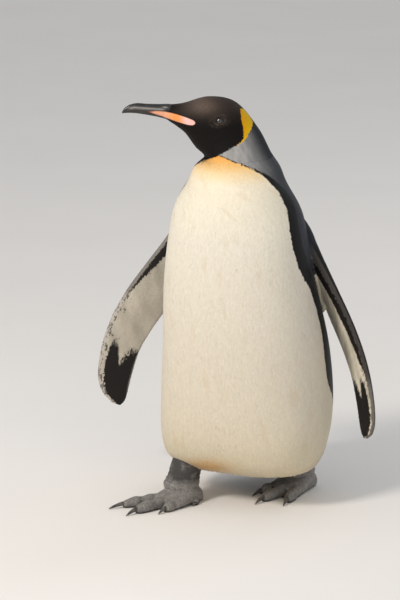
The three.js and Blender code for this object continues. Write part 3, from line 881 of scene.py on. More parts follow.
def skin_tone(points):
    """The coat's colours, with the legs and feet in leather, darker near the ground as painted shade."""
    tone = body_tone(points)
    bare = np.zeros(len(points))
    for side in OUT:
        tone = blend(tone, flipper_tone(side, points), flipper_share(side, points))
        f, l, u = limb_place(side, points)
        on_shank = np.hypot(f, l) < SHANK_ROOM
        on_foot = (u < 44) & (f > -60) & (f < 170) & (np.abs(l) < 80)
        bare = np.maximum(bare, (on_shank | on_foot) * smoothstep(u, 92, 84))
    x, y, z = np.moveaxis(points * 1000, -1, 0)
    leather = blend(FOOT_GREY, FOOT_DARK, 0.24 + 0.14 * mottle(x, y, z, 9) + 0.16 * mottle(x, y, z, 3.5))
    # painted shade: darker in the last few millimetres above the ground
    leather = blend(leather, FOOT_DARK, 0.9 * smoothstep(z, 7, 2))
    leather = blend(leather, FOOT_DARK, 0.85 * smoothstep(z, 34, 52))
    return blend(tone, leather, bare), bare


skin_points = points_of(skin)
tone, bare = skin_tone(skin_points)
set_tone(skin.data, tone)
skin.data.attributes.new("bare", "FLOAT", "POINT").data.foreach_set("value", bare)

leather = Shader("foot_skin", Specular_IOR_Level=0.45)
bare_share = leather.stored("bare", "Fac")
pebbles = leather.cells(420, "DISTANCE_TO_EDGE").between(0.0, 0.22)
wrinkles = leather.noise(160, 4, (1, 1, 2.4))
grain = leather.noise(900, 2)
dust = (leather.noise(55, 3).between(0.5, 0.68) * pebbles) * bare_share
worn = leather.mix(dust * 0.45, leather.stored("tone"), FOOT_DUST)
# painted shade: darker in the grooves between the scales
crease_shaded = leather.mix((1 - pebbles) * bare_share * 0.6, worn, FOOT_DARK)
relief = pebbles * 0.6 + wrinkles * 0.9 + grain * 0.2
skin.data.materials.clear()
leather_rough = leather.noise(120).between(-0.6, 1.2) * 0.5 + 0.3
skin.data.materials.append(leather.finish(crease_shaded, leather_rough, relief * bare_share, 0.7, 0.0012))
print("skin points:", len(skin_points), "bare:", int((bare > 0.5).sum()))

# %% [markdown]
# ## Bill
# The bill is long, slender and slightly bent down at the tip. Both halves are the same squarish oval cut by
# the wavy line where they meet, so one function draws either: an arc of the oval from one edge to the
# other, closed by a slightly hollow palate. The nostril is a slit in a groove along the upper half.

# %% Upper and lower bill
# forward and up of the ridge, forward and up of the keel, half width
BILL = np.array([
    [104, 771.2, 108, 743, 13.3],
    [112, 772, 124, 746, 13],
    [136, 777, 147, 749, 12.5],
    [158, 777.5, 163, 753.5, 9.6],
    [181, 778.5, 183, 757.5, 7.6],
    [200, 780, 200, 760.5, 6.3],
    [214, 777, 212, 761.5, 4.8],
    [223, 771, 221, 761.5, 3.2],
    [228, 763.5, 227, 761, 1],
])
# forward against the height of the line where the halves meet
BILL_MEET = np.array([
    [100, 757], [120, 762.5], [135, 766], [145, 767], [164, 767.8], [184, 769.5], [204, 771],
    [215, 769.5], [221, 765], [226, 757],
])
BILL_SQUARE = 1.9
BILL_GAP = 0.25  # from the meeting line to either half
NOSTRIL_FORWARD = 166


def smooth_table(rows, x, column):
    """A smooth curve through a table whose steps are uneven."""
    index = np.interp(x, rows[:, 0], np.arange(len(rows)))
    return through(rows[:, [column]], index)[..., 0]


def bill_oval(f):
    """Ridge height, keel height and half width of the bill at f."""
    keel = np.interp(f, BILL[:, 2], BILL[:, 3])
    return smooth_table(BILL, f, 1), keel, np.interp(f, (BILL[:, 0] + BILL[:, 2]) / 2, BILL[:, 4])


def bill_half(f, around, upper):
    """Straight points: an arc of the oval over around 0 to 1, then the hollow palate over 1 to 2."""
    f, around = np.broadcast_arrays(f, around)
    ridge, keel, half = bill_oval(f)
    way = 1 if upper else -1
    meet = table(BILL_MEET, f) + BILL_GAP * way
    middle, tall = (ridge + keel) / 2, (ridge - keel) / 2
    level = np.clip((meet - middle) / tall, -0.98, 0.98)
    start = np.arcsin(np.sign(level) * np.abs(level) ** (BILL_SQUARE / 2))
    sweep = np.clip(around, 0, 1)
    angle = start + (np.pi - 2 * start) * sweep if upper else np.pi - start + (np.pi + 2 * start) * sweep
    l = half * squared(np.cos(angle), BILL_SQUARE)
    u = middle + tall * squared(np.sin(angle), BILL_SQUARE)
    back = np.clip(around - 1, 0, 1)
    edge = half * squared(np.cos(start), BILL_SQUARE)
    hollow = 0.9 * np.sin(np.pi * back) ** 2 * way * smoothstep(f, 220, 205)
    l = np.where(around > 1, edge * (2 * back - 1) * way, l)
    u = np.where(around > 1, middle + tall * level + hollow, u)
    if upper:
        groove = bell(u, ridge * 0.62 + meet * 0.38, 0.8) * smoothstep(f, 136, 146) * smoothstep(f, 196, 176)
        slit = bell(u, ridge * 0.66 + meet * 0.34, 0.7) * bell(f, NOSTRIL_FORWARD, 6)
        l = l * (1 - (0.5 * groove + 1.1 * slit) * (around <= 1) / half)
    return gather(f, l, u)


def bill_piece(name, upper, first, last):
    """One half of the bill, with stations crowded towards the tip, a painted highlight as a pale strip along
    its edge, and a painted glint.
    """
    f = first + (last - first) * (1 - (1 - np.linspace(0, 1, 150)) ** 1.5)[:, None]
    around = np.concatenate([np.linspace(0, 1, 56), 1 + np.linspace(0, 1, 14)[1:-1]])[None]
    made = closed_loft(name, pose(bill_half(f, around, upper)))
    f, _, u, _ = straighten(points_of(made))
    above = u - table(BILL_MEET, f)
    # painted highlights: a pale strip along the line where the halves meet, and a small glint higher on the
    # side
    painted_strip = bell(above, 1.2, 2.2) * smoothstep(f, 142, 158) * smoothstep(f, 220, 208)
    glint = bell(f, 147, 5) * bell(above, 5.5, 1.3)
    set_tone(made.data, blend(linear(30, 26, 25), linear(176, 170, 162), 0.75 * np.maximum(painted_strip, glint)))
    return made


horn = Shader("horn", Specular_IOR_Level=0.5, Coat_Weight=0.12, Coat_Roughness=0.25)
streaks = horn.noise(60, 4, (1, 1, 4), 0.6)
wear = horn.noise(300, 3).between(0.56, 0.74)
horn_tone = horn.mix(streaks.between(0.35, 0.75) * 0.4, horn.stored("tone"), linear(62, 57, 54))
horn_tone = horn.mix(wear * 0.2, horn_tone, linear(120, 112, 104))
horn_relief = horn.noise(500, 4, (1, 1, 3))
horn_material = horn.finish(horn_tone, horn.noise(200, 2) * 0.3 + 0.22, horn_relief, 0.25, 0.0004)
settle(bill_piece("bill_top", True, 108, 227.6), horn_material, "bill_upper")
settle(bill_piece("bill_bottom", False, 106, 223.2), horn_material, "bill_lower")

# %% [markdown]
# ## Bill plates
# Each side of the lower bill carries a waxy plate, pink and orange, shaped like a long leaf. It lies on the
# horn in front and on the cheek behind. It is drawn as a leaf in side view, and its height off the head is
# found by asking how wide the head and bill are at each of its points.

# %% Plates draped on the bill
# forward against the height of the leaf's two edges
PLATE_TOP = np.array([
    [92, 746.6], [92.6, 748.6], [94.5, 750.6], [98, 752.6], [105, 755.2], [114, 758], [126, 761.2],
    [138, 763.6], [150, 765.2], [164, 766], [181, 765],
])
PLATE_LOW = np.array([
    [92, 746.6], [92.6, 744.6], [94.6, 742.6], [98, 741.4], [103, 741.4], [110, 742.6], [125, 746.4],
    [144, 752.2], [158, 757.2], [170, 761.2], [181, 765],
])
PLATE_REAR, PLATE_FRONT = 92.2, 180.5
PLATE_RISE, PLATE_INSET = 2.3, 0.5  # the dome's height, and how far its edge sinks in
PLATE_BACK = -1.2  # how far inside the horn its inner sheet lies


def head_width(f, u):
    """Half width of the head at side-view points: the slice whose line passes nearest is used."""
    t = np.linspace(14, BILL_END, 500)
    bf, bu, ff, fu, half, square, taper = through(BODY, t).T
    df, du = ff - bf, fu - bu
    reach = np.hypot(df, du)
    off = ((f[:, None] - bf) * du - (u[:, None] - bu) * df) / reach
    a = 2 * ((f[:, None] - bf) * df + (u[:, None] - bu) * du) / reach**2 - 1
    pick = np.argmin(np.abs(off) + 50 * np.maximum(np.abs(a) - 1, 0), axis=1)
    a = np.clip(np.take_along_axis(a, pick[:, None], 1)[:, 0], -1, 1)
    width = half[pick] * (1 - np.abs(a) ** square[pick]) ** (1 / square[pick]) * (1 + taper[pick] * a)
    return np.where(np.abs(np.take_along_axis(off, pick[:, None], 1)[:, 0]) < 1.5, width, 0)


def bill_width(f, u):
    """Half width of the bill at side-view points."""
    ridge, keel, half = bill_oval(f)
    level = np.clip(np.abs((u - (ridge + keel) / 2) / ((ridge - keel) / 2)), 0, 1)
    return half * (1 - level**BILL_SQUARE) ** (1 / BILL_SQUARE)


def plate_points(side, along, across, lift):
    """Side-view leaf between its two edges, carried out to the head's width plus a domed lift."""
    f = PLATE_REAR + (PLATE_FRONT - PLATE_REAR) * (1 - np.cos(np.pi * along)) / 2
    top, low = table(PLATE_TOP, f), table(PLATE_LOW, f)
    u = low + (top - low) * (0.5 - 0.5 * np.cos(np.pi * across))
    flat = np.maximum(head_width(f.ravel(), u.ravel()), bill_width(f.ravel(), u.ravel())).reshape(f.shape)
    dome = np.sqrt(np.clip(1 - (2 * across - 1) ** 4, 0, 1)) * np.clip(np.sin(np.pi * along) * 3, 0, 1) ** 0.5
    ribs = 0.12 * np.sin(across * 40) * dome
    out = flat + (PLATE_RISE + ribs) * dome - PLATE_INSET if lift else flat + PLATE_BACK
    return pose(gather(f, out * OUT[side], u))


def plate_piece(side):
    """A closed leaf: the domed outer sheet joined round its edge to an inner one."""
    along, across = np.linspace(0.002, 0.998, 110)[:, None], np.linspace(0, 1, 26)[None]
    along, across = np.broadcast_arrays(along, across)
    outer, inner = plate_points(side, along, across, True), plate_points(side, along, across, False)
    made = closed_loft("bill_plate_" + side, np.concatenate([outer, inner[:, ::-1]], 1))
    f, _, u, _ = straighten(points_of(made))
    rear, middle, front = linear(246, 198, 188), linear(238, 150, 62), linear(236, 168, 128)
    tone = blend(front, middle, smoothstep(f, 150, 128))
    tone = blend(tone, rear, smoothstep(f, 124, 108))
    tone = blend(tone, linear(70, 44, 36), smoothstep(f, 166, 179))
    edge = np.minimum(table(PLATE_TOP, f) - u, u - table(PLATE_LOW, f))
    tone = blend(tone, linear(150, 84, 60), 0.5 * smoothstep(edge, 1.6, 0.2))
    set_tone(made.data, tone)
    return made


wax = Shader(
    "bill_plate", Specular_IOR_Level=0.5, Coat_Weight=0.2, Coat_Roughness=0.2,
    Subsurface_Weight=0.05, Subsurface_Scale=0.002,
)
blush = wax.mix(wax.noise(90, 3).between(0.3, 0.8) * 0.35, wax.stored("tone"), linear(226, 150, 130))
plate_material = wax.finish(blush, wax.noise(250, 2) * 0.25 + 0.25, wax.noise(420, 3), 0.2, 0.0004)
for side in OUT:
    settle(plate_piece(side), plate_material, "plate_" + side)

# %% [markdown]
# ## Eyes
# The eye is a ball 16 mm across, most of it inside the head. Only an almond-shaped opening shows, ringed by
# thin dark lids that hug the ball. Lids could be cut from the skin, but a ring swept about the ball follows
# it exactly. The iris is brown and the pupil black, and a clear coat gives the glint.

# %% Eyeballs and lids
EYE_RADIUS = 8.0
EYE_OPENING = np.radians(42)
EYE_NARROWING = 0.34  # how much lower than long the opening is
LID_EDGE = np.radians(76)  # where the lids' ring ends, from the way the eye looks
EYE_COLUMNS = 96


def eye_axes(side):
    """Centre and posed axes of an eye: out of the head, forwards and up."""
    f, l, u = EYE_PLACE * (1, OUT[side], 1)
    centre = pose((f, l, u))
    looking = unit(pose((f + 0.8, l + 9.8 * OUT[side], u + 1.2)) - centre)
    ahead = pose((f + 10, l, u)) - centre
    ahead = unit(ahead - looking * (ahead @ looking))
    return centre, looking, ahead, np.cross(ahead, looking) * OUT[side]


def eye_shell(side, radius, polar, around):
    """Points of a ball: polar is the angle from the way the eye looks, around goes about it."""
    centre, looking, ahead, up = eye_axes(side)
    polar, around, radius = np.broadcast_arrays(polar, around, radius)
    spread = np.cos(around)[..., None] * ahead + np.sin(around)[..., None] * up
    reach = np.cos(polar)[..., None] * looking + np.sin(polar)[..., None] * spread
    return centre + reach * (radius / 1000)[..., None]


def lid_ring(side):
    """A soft ring round the opening: out over the ball, over a rim, and back down into the head."""
    around, run = circle(EYE_COLUMNS)[None], np.linspace(0, 1, 40)[:, None]
    rim = EYE_OPENING * (1 - EYE_NARROWING * np.abs(np.sin(around)) ** 1.3)
    polar = rim - 0.02 + run * (LID_EDGE - rim)
    rim_swell = 1.05 * np.sin(np.pi * np.clip(run * 2.4, 0, 1)) ** 0.8
    swell = 0.15 + np.where(run < 0.42, rim_swell, 0.25)
    folds = 0.22 * np.sin(run * 26) * smoothstep(run, 0.3, 0.5)
    outer = eye_shell(side, EYE_RADIUS + swell + folds, polar, around)
    inner = eye_shell(side, EYE_RADIUS - 0.8, polar[::-1], around)
    return outer, inner


def eye_pieces(side):
    """The ball and its lids, as two pieces."""
    polar = np.linspace(0.01, np.pi - 0.01, 60)[:, None]
    bulge = EYE_RADIUS + 0.35 * bell(polar, 0, 0.35)
    ball = closed_loft("eyeball_" + side, eye_shell(side, bulge, polar, circle(EYE_COLUMNS)[None]))
    outer, inner = lid_ring(side)
    rings = np.concatenate([outer, inner, outer[:1]])
    lids = mesh_object("eyelids_" + side, rings, grid_faces(*rings.shape[:2]))
    tidy_solid(lids)
    centre, looking = eye_axes(side)[:2]
    gaze = (points_of(ball) - centre) @ looking * 1000 / EYE_RADIUS
    angle = np.degrees(np.arccos(np.clip(gaze, -1, 1)))
    iris = blend(linear(58, 34, 18), linear(26, 16, 11), smoothstep(angle, 22, 34))
    tone = blend(linear(3, 3, 3), iris, smoothstep(angle, 14, 17))
    tone = blend(tone, linear(16, 12, 11), smoothstep(angle, 36, 40))
    set_tone(ball.data, tone)
    return ball, lids


eye = Shader("eye", Specular_IOR_Level=0.6, Coat_Weight=1.0, Coat_Roughness=0.02)
iris = eye.mix(eye.noise(900, 3).between(0.35, 0.75) * 0.5, eye.stored("tone"), linear(20, 13, 9))
eye_material = eye.finish(iris, eye.noise(300) * 0.05 + 0.06)
lid = Shader("eyelid", Specular_IOR_Level=0.4)
lid_tone = lid.mix(lid.cells(900).between(0.2, 0.8), linear(27, 22, 20), linear(14, 12, 11))
lid_material = lid.finish(lid_tone, lid.noise(400) * 0.2 + 0.4, lid.cells(1300), 0.4, 0.0003)
for side in OUT:
    ball, lids = eye_pieces(side)
    settle(ball, eye_material, "eye_" + side)
    settle(lids, lid_material)

# %% [markdown]
# ## Claws
# Each toe ends in a strong black claw, curved down to a blunt point that just clears the ground. A claw
# could grow out of the skin, but it is hard where skin is soft, so it is its own closed loft that starts
# inside the toe.

# %% Claws of both feet
nail = Shader("claw", Specular_IOR_Level=0.5, Coat_Weight=0.1)
bands = nail.noise(180, 3, (1, 1, 0.4))
nail_tone = nail.mix(bands.between(0.35, 0.7), linear(44, 40, 38), linear(112, 104, 96))
nail_material = nail.finish(nail_tone, bands * 0.3 + 0.25, nail.noise(700, 3), 0.3, 0.0004)
for side in OUT:
    for toe, (_, end, tip, _, top) in toes_of(side).items():
        claw = closed_loft(f"nail_{side}_{toe}", digit_rings(side, end, tip, claw_rows(top), 44, 24))
        settle(claw, nail_material, f"claw_{side}_{toe}")

# %% [markdown]
# ## Coat of feathers
# A penguin's feathers are short, stiff and curved, and overlap like tiles, so that only the last few
# millimetres of each show. They could be strewn at random, but real ones stand in even rows, so each row
# runs round the body and every second row is shifted by half a feather. Each feather is a closed blade of
# twelve triangles that follows the surface from its root to its tip, rising through the depth of the coat.

# %% Plumage materials
LOOKS = {}


def plumage(name, sheen, rough, gloss):
    """A feather material: its stored colour flecked by fine noise and faint streaks, with a matching
    roughness and bump, and a little gloss.
    """
    made = Shader(name, Specular_IOR_Level=gloss, Sheen_Weight=sheen, Sheen_Roughness=0.4)
    fine, streak = made.noise(1100, 3), made.noise(260, 2, (1, 1, 0.25))
    value = fine.between(0.3, 0.7) * 0.1 + streak.between(0.3, 0.7) * 0.07 + 0.91
    grey = made.node("CombineColor", {}, {0: value, 1: value, 2: value})
    tone = made.mix(1.0, made.stored("tone"), grey, "MULTIPLY")
    LOOKS[name] = made.finish(tone, streak * 0.2 + rough, fine * 0.7 + streak * 0.6, 0.35, 0.0006)


plumage("cream_plumage", 0.1, 0.55, 0.2)
plumage("silver_plumage", 0.02, 0.45, 0.2)
plumage("dark_plumage", 0.0, 0.5, 0.12)
plumage("slate_plumage", 0.0, 0.48, 0.16)
plumage("flipper_plumage", 0.03, 0.52, 0.2)

print("plumage materials:", sorted(LOOKS))

# %% One feather
# four stations of a feather: share of its length, of its half width, and of the coat's depth it has risen
ALONG = np.array([0.0, 0.56, 0.86, 1.0])
SPREAD = np.array([0.0, 1.0, 0.62, 0.0])
RISE = np.array([0.0, 0.9, 1.0, 0.97])
FACES = np.array([
    [0, 1, 2], [0, 2, 3], [1, 4, 2], [2, 4, 5], [2, 5, 3], [3, 5, 6], [4, 7, 5], [5, 7, 6],
    [8, 10, 9], [9, 10, 11], [10, 12, 11], [11, 12, 13],
])
UNDERSIDE = np.array([0, 1, 3, 4, 6, 7])  # which points of the top the underside copies


def blades(mid, wide, normal, half, camber):
    """Fourteen points per feather: eight on its arched top and six on the flat underside."""
    edge = wide[:, None] * (half[:, None] * SPREAD)[..., None]
    arch = normal[:, None] * (camber * np.minimum(SPREAD, 0.8))[None, :, None]
    left, right, centre = mid - edge, mid + edge, mid + arch
    rows = [(left[:, i], centre[:, i], right[:, i]) for i in (1, 2)]
    top = np.stack([mid[:, 0], *rows[0], *rows[1], mid[:, 3]], 1)
    return np.concatenate([top, top[:, UNDERSIDE]], 1)


print("a feather has", len(FACES), "triangles")

# %% A joined coat
# each point's place on the feather's patch of the OFBake map, and its shade
PATCH_ACROSS = np.array([0, -1, 0, 1, -0.7, 0, 0.7, 0, 0, -1, 1, -0.7, 0.7, 0]) * 0.0015
PATCH_ALONG = np.array([0, 0.5, 0.5, 0.5, 0.8, 0.8, 0.8, 1, 0, 0.5, 0.5, 0.8, 0.8, 1]) * 0.003
SHADES = [0.92, 0.99, 0.99, 0.99, 1.0, 1.01, 1.0, 1.01, 0.92, 0.99, 0.99, 1.0, 1.0, 1.01]


def coat(name, points, tone, unwrap, slot):
    """A joined mesh of feathers with their colours and their OFBake patches."""
    count = len(points)
    faces = ((np.arange(count) * len(SHADES))[:, None, None] + FACES).reshape(-1, 3)
    flat = np.stack([unwrap[:, :1] + PATCH_ACROSS, unwrap[:, 1:] + PATCH_ALONG], -1).reshape(-1, 2)
    tones = np.repeat(tone, len(SHADES), 0) * np.tile(SHADES, count)[:, None]
    settle(mesh_object(name, points, faces, flat[faces.ravel()], tones), LOOKS[slot])


print("each feather's patch is", PATCH_ALONG.max(), "across")

# %% Rows of roots
GOLDEN = 0.618034  # steps of this share spread the rows that are left out evenly


def rows_of(surface, t_range, angle_range, step, row_step):
    """Roots in shifted rows: rows even along the surface, and feathers even along each row. Where the rows
    crowd together, whole rows are thinned. Each root has its t and angle, its place on the unwrapped skin,
    and its row's turn to be left out."""
    t = np.linspace(*t_range, 400)
    angle = np.linspace(*angle_range, 361)
    net = surface(t[:, None], angle[None], 0.0) * 1000
    along = np.linalg.norm(np.diff(net, axis=0), axis=-1)
    travelled = np.concatenate([[0], np.cumsum(along.max(axis=1) * 0.5 + along.mean(axis=1) * 0.5)])
    count = max(int(travelled[-1] / row_step), 2)
    row_t = np.interp((np.arange(count) + 0.5) / count * travelled[-1], travelled, t)
    found = []
    for i, row in enumerate(row_t):
        ring = surface(np.full_like(angle, row), angle, 0.0) * 1000
        arc = np.concatenate([[0], np.cumsum(np.linalg.norm(np.diff(ring, axis=0), axis=-1))])
        n = max(int(arc[-1] / step), 3)
        spots = (np.arange(n) + 0.25 + 0.5 * (i % 2)) / n * arc[-1]
        place = (row, np.interp(spots, arc, angle), spots / arc[-1], (i + 0.5) / count, i * GOLDEN % 1)
        found.append(np.stack(np.broadcast_arrays(*place), -1))
    found = np.concatenate(found)
    local = np.stack([np.interp(found[:, 0], t[:-1], column) for column in along[:, ::12].T], -1)
    last = local.shape[1] - 1
    nearest = np.clip(np.rint((found[:, 1] - angle[0]) / (angle[-1] - angle[0]) * last), 0, last)
    here = np.take_along_axis(local, nearest.astype(int)[:, None], 1)[:, 0]
    rate = np.interp(found[:, 0], t[:-1], np.diff(travelled))
    return found[found[:, 4] < np.clip(1.15 * here / rate, 0.12, 1)]


sample = rows_of(body_surface, (HEAD_BASE, 15), (0, 1), 4.0, 4.0)
print("a coarse patch of the head has", len(sample), "roots")

# %% A field of feathers
SHORTEST = 0.0012  # a feather shorter than this, in metres, is left out
CAMBER = 0.0002  # how far a feather arches, in metres


def frame_at(surface, t, angle, depth, flow):
    """Position, direction of growth, outward normal and the surface's speed along t, in metres."""
    here = surface(t, angle, depth)
    ahead = (surface(t + 0.02, angle, depth) - surface(t - 0.02, angle, depth)) / 0.04
    about = (surface(t, angle + 0.01, depth) - surface(t, angle - 0.01, depth)) / 0.02
    speed = np.linalg.norm(ahead, axis=-1)
    normal = np.cross(about, ahead)
    outwards = np.sign((normal * (surface(t, angle, depth - 0.5) - here)).sum(-1, keepdims=True))
    return here, unit(ahead) * flow, unit(normal) * outwards, speed


def field(
    name, surface, roots, depths, tone_of, slot, *, length, half,
    flow=-1, limit=(0.02, BILL_END), keep=None, lift=0.12, loose=0.0,
):
    """A coat over part of a surface. Depths are the root's and the tip's under the CAD surface, length, half
    width and lift are in mm, and flow is the way along t that the feathers lie. A loose feather runs
    straight on from its root instead of following the surface."""
    t, angle = roots[:, 0], roots[:, 1]
    count = len(t)
    length = length * (1 + 0.12 * rng.standard_normal(count))
    half = half * (1 + 0.08 * rng.standard_normal(count))
    angle = angle + rng.normal(0, 0.12, count) * 0.02
    here, growth, normal, speed = frame_at(surface, t, angle, depths[0], flow)
    yaw = np.radians(rng.normal(0, 3, count))
    step = np.clip(length / 1000 / np.maximum(speed, 1e-6), 0, 1.2)
    wide = np.cross(normal, growth)
    tip_depth = depths[1] + lift * rng.random(count)
    mids = []
    for share, rise in zip(ALONG, RISE):
        at = np.clip(t + flow * step * share, *limit)
        depth = depths[0] + (tip_depth - depths[0]) * rise
        spot = surface(at, angle, depth)
        risen = normal * ((depths[0] - depth) / 1000)[:, None]
        straight = here + growth * (length * share / 1000)[:, None] + risen
        spot = spot + (straight - spot) * np.reshape(loose, (-1, 1))
        mids.append(spot + wide * (np.sin(yaw) * length * share / 1000)[:, None])
    mid = np.stack(mids, 1)
    kept = np.linalg.norm(mid[:, 3] - mid[:, 0], axis=-1) > SHORTEST
    if keep is not None:
        kept &= keep(mid[:, 2])
    wide = unit(np.cross(normal, unit(mid[:, 3] - mid[:, 0])))
    points = blades(mid, wide, normal, half / 1000, CAMBER)
    tone = tone_of(mid[:, 2]) * (1 + 0.022 * rng.standard_normal(count))[:, None]
    unwrap = 0.01 + 0.975 * roots[:, 2:4]
    coat(name, points[kept], tone[kept], unwrap[kept], slot)


def clear_of_flippers(points):
    """True outside both flippers."""
    clear = np.ones(len(points), bool)
    for side in OUT:
        s, chord, out = flipper_place(side, points)
        lead, trail, thick = flipper_edges(s)
        a = np.clip((chord - (lead + trail) / 2) / ((lead - trail) / 2), -1, 1)
        room = thick * (1 - a**2) ** 0.5
        clear &= ~((np.abs(a) < 0.995) & (np.abs(out) < room - 0.4) & (s > 0) & (s < 1))
    return clear


on_crown = body_surface(np.array([16.0]), np.array([3.1]))
print("the crown is clear of the flippers:", bool(clear_of_flippers(on_crown)[0]))

# %% Feathers of the trunk
def coat_depths(roots, tip=0.1):
    """Depths of the roots and tips of feathers of the body; the roots start just off the skin."""
    return coat_depth(roots[:, 0]) - 0.2, tip


TRUNK_PARTS = ("breast_left", "flank_left", "back_left", "back_right", "flank_right", "breast_right")
SIXTH = 60  # degrees about the bird that each part covers
for i, part in enumerate(TRUNK_PARTS):
    slot = "slate_plumage" if part.startswith("back") else "cream_plumage"
    around = np.radians((SIXTH * i, SIXTH * (i + 1)))
    roots = rows_of(body_surface, (1.0, NECK_BASE), around, step=2.4, row_step=3.6)
    field(
        "coat_" + part, body_surface, roots, coat_depths(roots), body_tone, slot, length=14.0, half=2.1,
        keep=clear_of_flippers, loose=0.55 * smoothstep(roots[:, 0], 3.6, 2.4),
    )

hem = rows_of(body_surface, (1.9, 3.1), np.radians((-100, 100)), step=3.2, row_step=5.0)
field(
    "coat_hem", body_surface, hem, (np.full(len(hem), 1.6), -0.2), body_tone, "cream_plumage",
    length=21.0, half=1.6, lift=1.0, loose=0.75,
)

# %% Feathers of the neck and head
roots = rows_of(body_surface, (NECK_BASE, HEAD_BASE), (-np.pi, np.pi), step=2.0, row_step=2.7)
field(
    "coat_neck", body_surface, roots, coat_depths(roots), body_tone, "silver_plumage",
    length=11.0, half=1.6,
)


def clear_of_face(points):
    """True away from the eyes' openings and the plates."""
    f, _, u, _ = straighten(points)
    clear = np.ones(len(points), bool)
    for side in OUT:
        centre, looking = eye_axes(side)[:2]
        offset = (points - centre) * 1000
        from_axis = np.linalg.norm(offset - (offset @ looking)[:, None] * looking, axis=1)
        clear &= ~((from_axis < LID_CLEAR) & (offset @ looking > 0))
    edge = np.minimum(table(PLATE_TOP, f) - u, u - table(PLATE_LOW, f))
    return clear & ~((edge > 0.3) & (f > 92.4) & (f < 181))


LID_CLEAR = 7.2  # no feather grows this near the line along which an eye looks
for side, start in (("left", 0), ("right", 180)):
    around = np.radians((start, start + 180))
    roots = rows_of(body_surface, (HEAD_BASE, BILL_END - 0.02), around, step=1.55, row_step=2.0)
    depths = coat_depths(roots, 0.1 + 1.1 * smoothstep(roots[:, 0], 17, 18))
    field(
        "coat_head_" + side, body_surface, roots, depths, body_tone, "dark_plumage",
        length=7.0, half=1.15, keep=clear_of_face, lift=0.1,
    )

# %% Feathers of the flippers
for side in OUT:
    def blade_surface(t, angle, depth=0.0, side=side):
        """This side's flipper, with the feathers' own arguments."""
        return flipper_surface(side, t, angle, depth)

    def blade_tone(points, side=side):
        """The flipper's colours, taking over from the trunk's near the joint."""
        on_blade = smoothstep(flipper_place(side, points)[0], -0.02, 0.05)
        return blend(body_tone(points), flipper_tone(side, points), on_blade)

    roots = rows_of(blade_surface, (0.3, 9.97), (0, 2 * np.pi), step=2.3, row_step=2.8)
    field(
        "coat_flipper_" + side, blade_surface, roots, (FLIPPER_DEPTH - 0.1, 0.0), blade_tone,
        "flipper_plumage", length=5.4, half=1.6, flow=1, limit=(0.1, 9.999), lift=0.1,
    )

# %% [markdown]
# ## Tail
# The tail is a short wedge of stiff dark quills that reaches back and down almost to the ground. The quills
# fan out from the tail's root in two layers, with two layers of shorter coverts over them. They could be cut
# from one sheet, but separate closed blades keep their edges stiff and sharp.

# %% Tail quills
# how many feathers each layer has, its reach as a share of the tail, and its height above the lowest
TAIL_LAYERS = ((15, 1.0, 0.0), (14, 0.86, 3.0), (17, 0.62, 6.0), (19, 0.42, 9.0))
QUILL_HALF, COVERT_HALF, QUILL_CAMBER = 3.4, 4.0, 0.0008


def tail_quills():
    """Long closed blades: each runs from the tail's root to its own point on the fanned end."""
    mids, halves, normals, where = [], [], [], []
    for count, reach, above in TAIL_LAYERS:
        side = np.linspace(-1, 1, count) + rng.normal(0, 0.015, count)
        share = ALONG[None, :] * reach * (1 - 0.16 * side[:, None] ** 2)
        station = (len(TAIL) - 1) * np.clip(share * 0.8 + 0.2 * reach, 0, 1)
        f, u, half, thick = np.moveaxis(through(TAIL, station), -1, 0)
        l = side[:, None] * half * 0.92
        arch = (thick * 0.62 + above * (1 - share)) * (1 - 0.4 * side[:, None] ** 2)
        mids.append(pose(gather(f - arch * 0.72, l, u + arch * 0.62)))
        halves.append(np.full(count, QUILL_HALF if reach > 0.8 else COVERT_HALF))
        normals.append(pose(gather(f - arch - 1, l, u + arch + 1))[:, 2] - mids[-1][:, 2])
        where.append(np.stack([(side + 1.1) / 2.2, np.full(count, above / 12 + 0.1)], -1))
    return np.concatenate(mids), np.concatenate(halves), np.concatenate(normals), np.concatenate(where)


mid, half, normal, unwrap = tail_quills()
normal = unit(normal)
wide = unit(np.cross(normal, mid[:, 3] - mid[:, 0]))
tail_tone = np.tile(linear(38, 37, 39), (len(mid), 1)) * (1 + 0.1 * rng.standard_normal((len(mid), 1)))
quills = blades(mid, wide, normal, half / 1000, QUILL_CAMBER)
coat("coat_tail", quills, tail_tone, unwrap, "slate_plumage")

# %% [markdown]
# ## Floor, light and camera
# The bird stands in strong light. A small lamp would give hard shadows, so the key light is a broad one,
# high on the viewer's left, with weaker ones opposite and behind, over a plain pale floor.

# %% Studio
def area_light(name, place, aim, size, power, colour):
    """A square lamp at a place, facing a point."""
    lamp = bpy.data.lights.new(name, "AREA")
    lamp.size, lamp.energy, lamp.color = size, power, colour
    made = bpy.data.objects.new(name, lamp)
    made.location = place
    made.rotation_euler = (Vector(aim) - Vector(place)).to_track_quat("-Z", "Y").to_euler()
    bpy.context.scene.collection.objects.link(made)


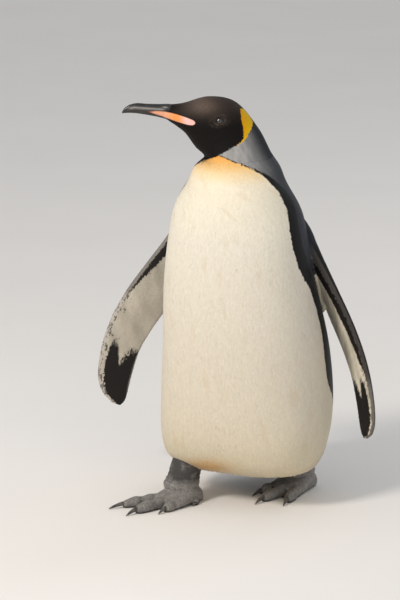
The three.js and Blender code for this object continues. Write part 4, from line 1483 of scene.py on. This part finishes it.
FLOOR_REACH = 12
corners = [[x * FLOOR_REACH, y * FLOOR_REACH, 0] for x, y in ((-1, -1), (1, -1), (1, 1), (-1, 1))]
floor = mesh_object("floor", corners, [[0, 1, 2, 3]])
ground = Shader("floor", Specular_IOR_Level=0.2)
pale = ground.mix(ground.noise(3, 3), linear(238, 232, 224), linear(244, 238, 231))
floor.data.materials.append(ground.finish(pale, ground.noise(20) * 0.1 + 0.8))
area_light("key", (-1.35, -3.0, 2.9), (0, 0, 0.4), size=0.9, power=98, colour=(1.0, 0.96, 0.9))
area_light("fill", (2.8, -2.2, 1.6), (0, 0, 0.4), size=2.5, power=12, colour=(0.92, 0.96, 1.0))
area_light("rim", (1.2, 2.8, 2.4), (0, 0, 0.5), size=1.6, power=13, colour=(0.96, 0.98, 1.0))
bpy.context.scene.view_settings.view_transform = "Standard"
world = bpy.data.worlds.new("studio")
world.use_nodes = True
sky = world.node_tree.nodes["Background"].inputs
sky["Color"].default_value, sky["Strength"].default_value = (0.86, 0.9, 0.96, 1), 0.6
bpy.context.scene.world = world

CAMERA_TURN, CAMERA_RISE, CAMERA_AWAY = np.radians(24), np.radians(14), 6.5
CAMERA_AIM = np.array([0.034, 0.030, 0.400])
PICTURE_WIDTH, MM_PER_PIXEL, SENSOR = 400, 1.92, 24
SHIFT_RIGHT, SHIFT_UP = -45, -5.15  # how far the lens is shifted, in pixels
level, rise = np.cos(CAMERA_RISE), np.sin(CAMERA_RISE)
away = np.array([np.sin(CAMERA_TURN) * level, -np.cos(CAMERA_TURN) * level, rise])
lens = bpy.data.cameras.new("camera")
lens.sensor_fit, lens.sensor_width = "HORIZONTAL", SENSOR
lens.lens = SENSOR * CAMERA_AWAY * 1000 / (PICTURE_WIDTH * MM_PER_PIXEL)
lens.shift_x, lens.shift_y = SHIFT_RIGHT / PICTURE_WIDTH, SHIFT_UP / PICTURE_WIDTH
camera = bpy.data.objects.new("camera", lens)
camera.location = Vector(CAMERA_AIM + CAMERA_AWAY * away)
camera.rotation_euler = Vector(-away).to_track_quat("-Z", "Y").to_euler()
bpy.context.scene.collection.objects.link(camera)
bpy.context.scene.camera = camera
print("camera at", [round(v, 3) for v in camera.location])
